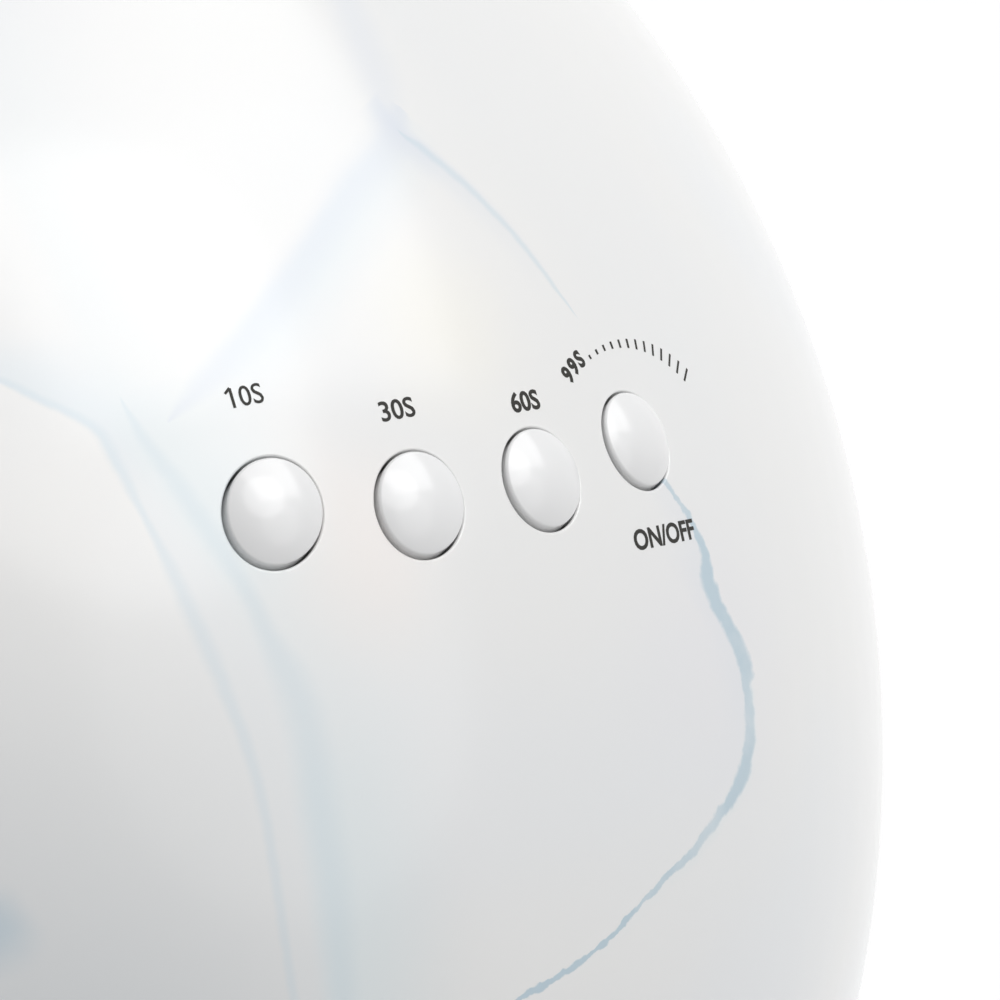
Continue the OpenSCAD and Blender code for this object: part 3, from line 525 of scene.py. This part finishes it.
# Mouth: its rolled lip, and the return wall that runs back to the reflector.
columns = 241
turn = np.radians(np.linspace(-4, 184, 1505))
away = np.stack([np.cos(turn) / mouth_wide, np.sin(turn) / mouth_high], -1)
away /= np.linalg.norm(away, axis=1, keepdims=True)
outline = np.stack([np.cos(turn) * mouth_wide, mouth_z + np.sin(turn) * mouth_high], -1)
lip = [cut_at_skirt(p, n, columns) for p, n in rolled_edge(outline, away, 1, -1, lip_r, 8)]
wall_edge, wall_n = lip[-1]
inner_wall = []
for s in np.linspace(0, 1, 7):
    p = wall_edge.copy()
    p[:, 1] = p[:, 1] * (1 - s) + return_end * s
    inner_wall.append((p, wall_n))
outer = np.stack([np.cos(turn) * (mouth_wide + return_t), np.full(len(turn), return_end),
                  mouth_z + np.sin(turn) * (mouth_high + return_t)], -1)
outer_n = np.stack([away[:, 0], np.zeros(len(turn)), away[:, 1]], -1)
outer_end, outer_n = cut_at_skirt(outer, outer_n, columns)
outer_front = on_skin(outer_end[:, [0, 2]], 1, -1, wall)
join_rows(lip, False)
join_rows(inner_wall, False)
back_face = np.tile((0.0, 1.0, 0.0), (columns, 1))
join_rows([(inner_wall[-1][0], back_face), (outer_end, back_face)], False)
outer_wall = [(outer_end * (1 - s) + outer_front * s, outer_n) for s in np.linspace(0, 1, 5)]
join_rows(outer_wall, False)

# Button holes: rolled edge, bore, the tube's lower end and its outer wall.
holes_out, holes_in, grading = [], [], []
for centre in button_xy:
    outline, away = ring(96, hole_r, centre)
    rows = rolled_edge(outline, away, 2, 1, hole_edge_r, 5)
    holes_out.append(rows[0][0])
    join_rows(rows, True)
    bore, bore_n = rows[-1]
    low = bore.copy()
    low[:, 2] = tube_end
    join_rows([(bore, bore_n), (low, bore_n)], True)
    tube, _ = ring(96, tube_r, centre)
    tube_low = np.column_stack([tube, np.full(96, tube_end)])
    tube_top = on_skin(tube, 2, 1, wall)
    down = np.tile((0.0, 0.0, -1.0), (96, 1))
    join_rows([(low, down), (tube_low, down)], True)
    join_rows([(tube_low, -bore_n), (tube_top, -bore_n)], True)
    holes_in.append(tube_top)
    grading += [on_skin(ring(n, r, centre)[0], 2, 1) for n, r in ((72, 4.9), (48, 5.5), (36, 6.5))]


# Air slots and power port: they go straight back through the wall, with a small rolled edge.
def through_back(outline, away):
    rows = rolled_edge(outline, away, 1, 1, slot_edge_r, 4)
    holes_out.append(rows[0][0])
    end, end_n = rows[-1]
    inner = on_skin(outline, 1, 1, wall)
    join_rows(rows + [(inner, end_n)], True)
    holes_in.append(inner)


for k in range(vent_n):
    x = (k - (vent_n - 1) / 2) * vent_pitch
    half_turn = np.linspace(0, np.pi, 9)
    out = np.concatenate([np.stack([np.cos(half_turn), np.sin(half_turn)], -1),
                          -np.stack([np.cos(half_turn), np.sin(half_turn)], -1)])
    shift = np.repeat([vent_h / 2, -vent_h / 2], 9)
    through_back(out * vent_w / 2 + np.stack([np.full(18, x), vent_z + shift], -1), out)
through_back(*ring(48, port_r, (0, port_z)))

# Skins: the outer one follows the lip and the skirt, the inner one the return wall and the skirt.
arc_n = 260
outer_arc = skirt_arc(lip[0][0][0], 0.0, arc_n)
inner_arc = skirt_arc(outer_front[0], wall, arc_n)
outer_arc[0], outer_arc[-1] = lip[0][0][-1], lip[0][0][0]
inner_arc[0], inner_arc[-1] = outer_front[-1], outer_front[0]
fill_skin(np.concatenate([lip[0][0], outer_arc[1:-1]]), holes_out, 0.0, 2.2, 1, grading)
fill_skin(np.concatenate([outer_front, inner_arc[1:-1]]), holes_in, wall, 4.0, -1)
down = np.tile((0.0, 0.0, -1.0), (arc_n, 1))
join_rows([(outer_arc, down), (inner_arc, down)], False)
for end in (0, -1):
    leg = [p[end] for p, _ in lip] + [p[end] for p, _ in inner_wall[1:]] + [p[end] for p, _ in outer_wall]
    add_patch(leg, np.tile((0.0, 0.0, -1.0), (len(leg), 1)), [tuple(range(len(leg)))])


def weld(parts, name):
    """One mesh from patches that meet, with each patch's own normals at its corners."""
    points = np.concatenate([p for p, _, _ in parts])
    normals = np.concatenate([n for _, n, _ in parts])
    faces, start = [], 0
    for p, _, f in parts:
        faces += [[i + start for i in face] for face in f]
        start += len(p)
    _, first, back = np.unique(np.round(points, 3), axis=0, return_index=True, return_inverse=True)
    back = back.ravel()
    kept, corner = [], []
    for face in faces:
        new = [back[i] for i in face]
        slim = [k for k in range(len(new)) if new[k] != new[k - 1]]
        if len(slim) > 2:
            kept.append([int(new[k]) for k in slim])
            corner += [normals[face[k]] for k in slim]
    mesh = bpy.data.meshes.new(name)
    mesh.from_pydata((points[first] + dome_middle) / 1000, [], kept)
    mesh.polygons.foreach_set("use_smooth", [True] * len(mesh.polygons))
    mesh.normals_split_custom_set([Vector(n).normalized() for n in corner])
    piece = bpy.data.objects.new(name, mesh)
    bpy.context.scene.collection.objects.link(piece)
    return piece


shell = weld(shell_parts, "shell")
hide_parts("top_shell")
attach(shell, "lamp")


# Shell finish. Glossy white plastic under a pearly marble print: soft blue-grey veins that widen
# and thin out along their way, hazes of ice blue and lavender that fade away from one side of a
# vein, and warm white between them. Laid into the colour are also a painted highlight under the
# soft box's reflection and painted shade at the lower left front.
pearl, tree, shader = new_material("pearl_marble")
place = put(tree, "TexCoord").outputs["Object"]
place = put(tree, "VectorMath", {0: place, 1: list(dome_middle / 1000)}, operation="SUBTRACT").outputs[0]


def maths(operation, a, b=0.0, c=0.0):
    return put(tree, "Math", {0: a, 1: b, 2: c}, operation=operation).outputs[0]


def smooth(value, start, end):
    """Rises smoothly from 0 where value is at start to 1 where it is at end."""
    return put(tree, "MapRange", {0: value, 1: start, 2: end, 3: 0.0, 4: 1.0},
               interpolation_type="SMOOTHSTEP").outputs[0]


def noise(scale, detail=2.0, source=None, **inputs):
    return put(tree, "TexNoise", {"Vector": source or place, "Scale": scale, "Detail": detail, **inputs})


def warped(source, scale, by):
    """Shifts places about by up to half of by, in metres."""
    swirl = put(tree, "VectorMath", {0: noise(scale, 3.0).outputs["Color"], 1: (0.5, 0.5, 0.5)},
                operation="SUBTRACT").outputs[0]
    swirl = put(tree, "VectorMath", {0: swirl, "Scale": by}, operation="SCALE").outputs[0]
    return put(tree, "VectorMath", {0: source, 1: swirl}, operation="ADD").outputs[0]


frayed = warped(warped(place, 60.0, 0.0008), 700.0, 0.0003)
ragged = warped(frayed, 800.0, 0.0009)


def curve(value, points, low, high):
    """A smooth curve through points, which may range from low to high."""
    node = put(tree, "FloatCurve", {"Value": value})
    line = node.mapping.curves[0]
    while len(line.points) < len(points):
        line.points.new(0.5, 0.5)
    for p, (x, y) in zip(line.points, points):
        p.location = (x, (y - low) / (high - low))
    node.mapping.update()
    return maths("MULTIPLY_ADD", node.outputs[0], high - low, low)


class Vein:
    """A vein near one place of the dome. It has a direction along it and one across it, and path
    gives points of it, in millimetres, as distances along and across from its middle."""

    def __init__(self, middle, along, across, path, fray=frayed):
        local = put(tree, "VectorMath", {0: fray, 1: [m / 1000 for m in middle]}, operation="SUBTRACT")
        local = put(tree, "VectorMath", {0: local.outputs[0], "Scale": 1000.0}, operation="SCALE").outputs[0]
        s = put(tree, "VectorMath", {0: local, 1: along}, operation="DOT_PRODUCT").outputs["Value"]
        u = put(tree, "VectorMath", {0: local, 1: across}, operation="DOT_PRODUCT").outputs["Value"]
        self.start, self.span = path[0][0], path[-1][0] - path[0][0]
        self.way = put(tree, "MapRange", {0: s, 1: self.start, 2: path[-1][0], 3: 0.0, 4: 1.0}).outputs[0]
        self.off = maths("SUBTRACT", u, curve(self.way, self.on_way(path), -20, 20))

    def on_way(self, points):
        return [((a - self.start) / self.span, b) for a, b in points]

    def line(self, widths, soft=0.35):
        """The vein itself, from its full width at places along it."""
        half = maths("MULTIPLY", curve(self.way, self.on_way(widths), 0, 8), 0.5)
        gap = maths("DIVIDE", maths("ABSOLUTE", self.off), maths("MAXIMUM", half, 0.001))
        return maths("MULTIPLY", smooth(gap, 1 + soft, 1 - soft), smooth(half, 0.02, 0.1))

    def haze(self, left, right, strengths):
        """A haze beside the vein. It fades out left millimetres away on one side and right on the
        other, and its strength changes along the vein."""
        fade = maths("MULTIPLY", smooth(self.off, right, 0.0), smooth(self.off, -left, 0.0))
        return maths("MULTIPLY", fade, curve(self.way, self.on_way(strengths), 0, 1))


main_vein = Vein((24.3, -63.4, 85.5), (-0.541, -0.776, -0.324), (0.802, -0.36, -0.477),
                 [(-20.1, -19.8), (-17.7, -15.8), (-16.7, -13.5), (-15.7, -12.0), (-14.2, -10.4),
                  (-12.0, -9.3), (-10.5, -7.2), (-9.1, -4.8), (-7.6, -2.9), (-5.8, -1.9),
                  (-3.7, -0.7), (0, 0), (3.0, -1.0), (5.2, -2.4), (7.9, -3.9), (9.9, -5.1),
                  (12.7, -7.2), (16.0, -9.4), (19.1, -11.5), (21.7, -13.5), (23.5, -15.2),
                  (25.3, -16.9), (28.9, -19.8)], ragged)
hair_vein = Vein((10.6, -20.5, 104.4), (0.508, -0.839, -0.197), (0.855, 0.519, -0.008),
                 [(-14.0, -0.6), (-10.8, -1.35), (-8.5, -1.0), (-5.5, -0.5), (0, 0), (6.0, -0.1),
                  (14.6, -0.6)])
crown_fold = Vein((-9.9, -22.3, 104.2), (-0.797, -0.574, -0.188), (0.595, -0.799, -0.084),
                  [(-19.5, -1.0), (-17.1, -0.3), (-8.8, -0.4), (0, 0), (5.5, -0.1), (10.7, -0.3),
                   (17.0, -1.0)])
crown_wisp = Vein((4.3, -6.2, 106.5), (0.123, 0.991, 0.044), (-0.991, 0.121, 0.05),
                  [(-6.5, -0.1), (0, 0), (6.4, 0.1), (14, -0.4)])
left_vein = Vein((-25.8, -42.8, 95.3), (0.253, -0.926, -0.28), (0.93, 0.153, 0.334),
                 [(-30, -20), (-26, -13), (-22.1, -7.0), (-19.7, -3.7), (-17.1, -1.7), (-15.2, -0.3),
                  (-13.3, 0.6), (-11.2, 0.6), (-8.1, 0.45), (0, 0), (7.7, -0.5), (14.9, -1.6),
                  (20.5, -3.2), (26.0, -4.9), (32.9, -7.0)])
twin_vein = Vein((-19.4, -50.6, 93.7), (0.135, -0.911, -0.389), (0.97, 0.042, 0.239),
                 [(-23.8, -4.3), (-21.0, -4.0), (-16.8, -3.0), (-12.4, -2.0), (-7.9, -1.0),
                  (-4.0, -0.5), (0, 0), (4.1, -0.25), (8.7, -1.0), (13.8, -1.8), (18.8, -2.7),
                  (26.7, -4.3)])

# Further veins all round the rest of the dome: two sets of lines that run like the grain of marble,
# widen and vanish along their way, and have a haze on one side.
buttons_middle, drawn_reach, others_from = (-0.002, -0.036, 0.096), 0.066, 0.085
away_from_front = put(tree, "VectorMath", {0: place, 1: buttons_middle}, operation="DISTANCE")
elsewhere = smooth(away_from_front.outputs["Value"], drawn_reach, others_from)
swell = noise(24.0).outputs["Fac"]
half_thick = maths("MAXIMUM", maths("MULTIPLY_ADD", swell, 4.6, -2.05), 0.0)
folded = warped(warped(place, 17.0, 0.034), 300.0, 0.0012)
seam, seam_haze, haze_wide = 0.0, 0.0, 13.0
for way, pitch in (((0.5, 0.45, 0.74), 52.0), ((-0.75, 0.55, 0.35), 83.0)):
    lengthwise = put(tree, "VectorMath", {0: folded, 1: way}, operation="DOT_PRODUCT").outputs["Value"]
    turns = maths("FRACT", maths("MULTIPLY", lengthwise, 1000 / pitch))
    off = maths("MULTIPLY", maths("SUBTRACT", turns, 0.5), pitch)
    gap = maths("DIVIDE", maths("ABSOLUTE", off), maths("MAXIMUM", half_thick, 0.001))
    drawn = maths("MULTIPLY", smooth(gap, 1.3, 0.7), smooth(half_thick, 0.03, 0.15))
    seam = maths("MAXIMUM", seam, drawn)
    beside = maths("MULTIPLY", smooth(off, haze_wide, 0.0), smooth(off, -0.6, 0.0))
    seam_haze = maths("MAXIMUM", seam_haze, beside)
seam = maths("MULTIPLY", seam, elsewhere)
seam_haze = maths("MULTIPLY", maths("MULTIPLY", seam_haze, smooth(swell, 0.38, 0.56)), elsewhere)

drifting = warped(place, 90.0, 0.005)


def spot(middle, size):
    """A cloud round one place of the dome that fades out size millimetres from it."""
    away = put(tree, "VectorMath", {0: drifting, 1: [m / 1000 for m in middle]}, operation="DISTANCE")
    return smooth(away.outputs["Value"], size / 1000, 0.0)


# The print's tints from the ground up: each is laid over those before it, by its share at each
# place and its strength. Two of them are painted light, not print: a painted highlight of lighter
# white under the soft box's reflection on the crown, and painted shade at the lower left front.
ground, cloudy = (0.868, 0.868, 0.862), (0.838, 0.855, 0.872)
ice, lavender, grey_blue = (0.785, 0.835, 0.865), (0.735, 0.775, 0.84), (0.58, 0.70, 0.77)
cyan, warm, deep_blue = (0.755, 0.83, 0.85), (0.9, 0.893, 0.878), (0.50, 0.625, 0.705)
clouds = noise(16.0, 2.0, Distortion=0.8).outputs["Fac"]
mottle = put(tree, "MapRange", {0: noise(170.0, 3.0).outputs["Fac"], 1: 0.3, 2: 0.55, 3: 0.55, 4: 1.0})
tints = [
    (smooth(clouds, 0.42, 0.68), cloudy, 1.0),
    (seam_haze, ice, 0.8),
    # Painted highlight: a lighter white laid into the colour on the crown, where the soft box's bright
    # reflection falls.
    (spot((-18, -12, 105), 26), (0.895, 0.895, 0.893), 0.8),
    (spot((2, -26, 104), 17), warm, 0.8),
    (spot((-33, -33, 96), 14), warm, 0.8),
    (spot((22, -55, 90), 18), (0.82, 0.818, 0.86), 0.45),
    (spot((-22, 12, 105), 16), (0.8, 0.79, 0.835), 0.5),
    (spot((1, -29, 103.5), 10), (0.91, 0.893, 0.83), 0.75),
    (spot((-13, -43, 98), 12), (0.915, 0.868, 0.84), 0.85),
    # Painted shade: a wide dark grey-blue cloud laid into the colour at the lower left front, where the dome
    # turns away from the lamps.
    (spot((-40, -68, 74), 40), (0.66, 0.685, 0.705), 0.8),
    (left_vein.haze(0.5, 8, [(-30, 0), (-25, 0.4), (-20, 0.9), (-15, 1.0), (-8, 0.55), (2, 0.3),
                             (14, 0.2), (33, 0.15)]), ice, 1.0),
    (twin_vein.haze(2.5, 12, [(-24, 0), (-18, 0.7), (-12, 0.8), (-5, 0.4), (1, 0.4), (8, 0.8),
                              (16, 0.9), (27, 0.8)]), cyan, 0.8),
    (crown_fold.haze(1.5, 6, [(-19.5, 0), (-14, 0.7), (-4, 1.0), (6, 0.9), (12, 0.4), (17, 0)]), ice, 1.0),
    (crown_fold.line([(-19.5, 0), (-17, 2.4), (-13, 2.8), (-4, 2.5), (6, 2.6), (12, 1.8), (17, 0)],
                     0.95), lavender, 0.55),
    (crown_wisp.line([(-6.5, 0), (-4, 2.5), (0, 3.5), (6, 3.0), (14, 0)], 0.95), lavender, 0.4),
    (hair_vein.haze(3, 1.2, [(-14, 0), (-11, 0.9), (-5, 0.5), (3, 0.2), (9, 0), (14.6, 0)]), lavender, 0.9),
    (main_vein.haze(7, 0.5, [(-20, 0), (-13, 0.7), (-7, 0.8), (-1, 0.4), (8, 0.1), (28.9, 0)]),
     lavender, 0.5),
    (main_vein.haze(0.3, 1.8, [(-20, 0), (-9, 0.2), (-6, 0.9), (5, 0.8), (12, 0.3), (28.9, 0)]),
     cyan, 0.8),
    (hair_vein.line([(-14, 0), (-11.5, 0), (-9, 0.6), (-2, 0.6), (5, 0.5), (8, 0.3), (11, 0),
                     (14.6, 0)], 0.95), grey_blue, 0.45),
    (left_vein.line([(-30, 0), (-22, 0.6), (-15, 0.8), (-11, 0.9), (-6, 0.5), (-2, 1.0), (3, 1.2),
                     (10, 0.9), (26, 0.7), (33, 0.5)], 0.9), grey_blue, 0.3),
    (twin_vein.line([(-24, 0), (-19, 1.0), (-13, 1.4), (-6, 1.2), (0, 2.4), (8, 2.6), (20, 2.2),
                     (27, 1.8)], 0.95), grey_blue, 0.3),
    (spot((-41.2, -58.2, 81.4), 3.6), (0.56, 0.65, 0.71), 0.9),
    (seam, grey_blue, 0.8),
    (main_vein.line([(-20.1, 0), (-17.7, 1.2), (-14.2, 1.4), (-12, 2.4), (-10, 3.4), (-7.6, 2.9),
                     (-5.8, 1.5), (-3.7, 1.6), (0, 1.7), (3, 1.5), (7.9, 1.0), (11, 0.75), (19, 0.5),
                     (23.5, 0.75), (28.9, 0.3)], 0.35), deep_blue, mottle.outputs[0]),
]
tone = list(ground) + [1]
for share, colour, strength in tints:
    share = maths("MULTIPLY", share, strength)
    tone = put(tree, "Mix", {0: share, 6: tone, 7: list(colour) + [1]}, data_type="RGBA").outputs[2]
tree.links.new(tone, shader.inputs["Base Color"])
gloss = put(tree, "MapRange", {0: noise(40.0).outputs["Fac"], 3: 0.3, 4: 0.4}).outputs[0]
tree.links.new(gloss, shader.inputs["Roughness"])
skin = put(tree, "Bump", {"Height": noise(260.0, 1.0).outputs["Fac"], "Distance": 0.00001, "Strength": 0.4})
tree.links.new(skin.outputs[0], shader.inputs["Normal"])
shader.inputs["Coat Weight"].default_value = 1.0
shader.inputs["Coat Roughness"].default_value = 0.15
shell.data.materials.append(pearl)


# Buttons. Four round caps of glossy white ABS with crowned tops, each a sliding fit in its guide
# tube, with a flange that stops it from coming out and a stem on the tact switch's plunger.
button_r, crown_r, crown_rise = 3.70, 8.0, 1.2
flange_r, flange_top, flange_low, stem_r = 4.99, 82.23, 81.03, 2.0
stem_end = 79.03
cap_white = moulded("cap_gloss_white", (0.87, 0.872, 0.876), 0.3, grain=260, depth=0.00001, coat=1.0)
cap_white.node_tree.nodes["Principled BSDF"].inputs["Coat Roughness"].default_value = 0.12
for name, centre in zip(("10s", "30s", "60s", "99s"), button_xy):
    shell_parts = []
    top = on_skin(centre[None], 2, 1)[0]
    lean = skin_normal(top)
    ball = top - lean * (crown_r - crown_rise)
    soft = 0.3
    edge, out = ring(96, button_r - soft, centre)
    rise = np.sqrt((crown_r - soft) ** 2 - ((edge - ball[:2]) ** 2).sum(1))
    soft_mid = np.column_stack([edge, ball[2] + rise])
    up = (soft_mid - ball) / (crown_r - soft)
    contact = ball + up * crown_r
    rows = []
    for s in np.linspace(0.02, 1, 14):
        flat = centre + (contact[:, :2] - centre) * s
        z = ball[2] + np.sqrt(crown_r ** 2 - ((flat - ball[:2]) ** 2).sum(1))
        p = np.column_stack([flat, z])
        rows.append((p, (p - ball) / crown_r))
    rows[-1] = (contact, up)
    side = np.column_stack([out, np.zeros(96)])
    angle = np.arccos((up * side).sum(1))[:, None]
    for s in np.linspace(0, 1, 7)[1:]:
        d = (np.sin((1 - s) * angle) * up + np.sin(s * angle) * side) / np.sin(angle)
        rows.append((soft_mid + soft * d, d))
    join_rows(rows, True)
    add_patch(rows[0][0], rows[0][1], [tuple(range(96))])
    level = [(button_r, flange_top), (flange_r, flange_top), (flange_r, flange_low), (stem_r, flange_low),
             (stem_r, stem_end)]
    last = rows[-1][0]
    for (r, z), n in zip(level, ("out", "up", "out", "down", "out")):
        p = np.column_stack([centre + out * r, np.full(96, z - dome_middle[2])])
        normal = {"out": side, "up": side * 0 + (0, 0, 1), "down": side * 0 - (0, 0, 1)}[n]
        join_rows([(last, normal), (p, normal)], True)
        last = p
    add_patch(last, side * 0 - (0, 0, 1), [tuple(range(96))])
    cap = weld(shell_parts, f"cap_{name}")
    cap.data.materials.append(cap_white)
    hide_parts(f"button_{name}")
    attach(cap, f"key_{name}")


# Lettering. The times and the switch words are pad-printed on the shell in dark grey ink, and a
# row of strokes that grows along an arc stands for the slow start of the longest time.
ink, tree, shader = new_material("dark_ink")
place = put(tree, "TexCoord").outputs["Object"]
speck = put(tree, "TexNoise", {"Vector": place, "Scale": 9000.0, "Detail": 2.0}).outputs["Fac"]
tone = put(tree, "Mix", {0: speck, 6: (0.022, 0.021, 0.019, 1), 7: (0.045, 0.043, 0.038, 1)},
           data_type="RGBA")
tree.links.new(tone.outputs[2], shader.inputs["Base Color"])
shader.inputs["Roughness"].default_value = 0.5
shader.inputs["Specular IOR Level"].default_value = 0.2


def tangent_frame(centre):
    top = on_skin(np.array([centre]), 2, 1)[0]
    n = skin_normal(top)
    right = np.array([1.0, 0, 0]) - n[0] * n
    right /= np.linalg.norm(right)
    return top, right, np.cross(n, right), n


def wrap(points, centre):
    """Lays drawn points, in millimetres round a button's middle, onto the dome. Their z is kept
    as the height above it."""
    top, right, up, n = tangent_frame(centre)
    flat = top + points[:, :1] * right + points[:, 1:2] * up
    a = ((n / half_axes) ** 2).sum()
    b = 2 * (flat / half_axes * n / half_axes).sum(1)
    c = ((flat / half_axes) ** 2).sum(1) - 1
    t = (-b + np.sqrt(b * b - 4 * a * c)) / (2 * a)
    on = flat + t[:, None] * n
    return on + skin_normal(on) * points[:, 2:3]


def print_on(name, flat_meshes, centre):
    """Joins flat meshes into one printed piece on the shell."""
    points, faces, start = [], [], 0
    for p, f in flat_meshes:
        points.append(p)
        faces += [[i + start for i in face] for face in f]
        start += len(p)
    mesh = bpy.data.meshes.new(name)
    mesh.from_pydata((wrap(np.concatenate(points), centre) + dome_middle) / 1000, [], faces)
    mesh.materials.append(ink)
    piece = bpy.data.objects.new(name, mesh)
    bpy.context.scene.collection.objects.link(piece)
    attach(piece, "lamp")


ink_t = 0.02
capital = 0.729


def word(text, height, squeeze, bold, place, tilt=0.0):
    """A word as a flat mesh, with capitals of a height in millimetres. Its baseline's middle is at
    place, and it is turned by tilt degrees. Capital is their height in type of size 1."""
    curve = bpy.data.curves.new("word", "FONT")
    curve.body = text
    curve.align_x = "CENTER"
    curve.size = height / capital
    curve.extrude = ink_t
    curve.offset = bold
    curve.resolution_u = 4
    drawn = bpy.data.objects.new("word", curve)
    bpy.context.scene.collection.objects.link(drawn)
    bpy.context.view_layer.update()
    mesh = bpy.data.meshes.new_from_object(drawn)
    points = np.array([v.co for v in mesh.vertices])
    faces = [list(p.vertices) for p in mesh.polygons]
    bpy.data.objects.remove(drawn)
    points[:, 0] *= squeeze
    a = math.radians(tilt)
    turned = points.copy()
    turned[:, 0] = points[:, 0] * math.cos(a) - points[:, 1] * math.sin(a) + place[0]
    turned[:, 1] = points[:, 0] * math.sin(a) + points[:, 1] * math.cos(a) + place[1]
    return turned, faces


def stroke(start, end, width):
    """A short straight line as a flat box."""
    start, end = np.array(start), np.array(end)
    side = (end - start)[::-1] * (-1, 1) / np.linalg.norm(end - start) * width / 2
    outline = [start + side, start - side, end - side, end + side]
    p = np.array([(x, y, z) for z in (-ink_t, ink_t) for x, y in outline])
    return p, [(3, 2, 1, 0), (4, 5, 6, 7), (0, 1, 5, 4), (1, 2, 6, 5), (2, 3, 7, 6), (3, 0, 4, 7)]


low_x, low_y = 0.25, 7.95
seconds_10 = word("10S", 1.57, 0.95, 0.01, (low_x, low_y))
flag_x, flag_y = seconds_10[0][:, 0].min() + 0.12, low_y + 1.5
flag = stroke((flag_x, flag_y), (flag_x - 0.46, flag_y - 0.36), 0.2)
print_on("label_10s", [seconds_10, flag], button_xy[0])
print_on("label_30s", [word("30S", 1.57, 1.03, 0.03, (0.25, 6.5))], button_xy[1])
print_on("label_60s", [word("60S", 1.57, 0.97, 0.06, (0.5, 5.4))], button_xy[2])
print_on("label_switch", [word("ON/OFF", 1.64, 1.0, 0.06, (0.65, -8.65))], button_xy[3])

arc_x, arc_y, arc_r = 1.16, -3.82, 11.44
letter_turns = (125.7, 120.4, 115.2)
strokes, first_turn, sweep = 13, 109, 64
shortest, growth, stroke_w = 0.35, 1.05, 0.22


def on_arc(turn, out):
    """A point near the last button, by its turn in degrees and its distance outside the arc."""
    a = math.radians(turn)
    return arc_x + (arc_r + out) * math.cos(a), arc_y + (arc_r + out) * math.sin(a)


letters = [word(letter, 1.4, 0.9, 0.08, on_arc(a, 0), a - 90) for letter, a in zip("99S", letter_turns)]
for k in range(strokes):
    share = k / (strokes - 1)
    turn = first_turn - sweep * share
    letters.append(stroke(on_arc(turn, 0), on_arc(turn, shortest + growth * share), stroke_w))
print_on("label_99s", letters, button_xy[3])
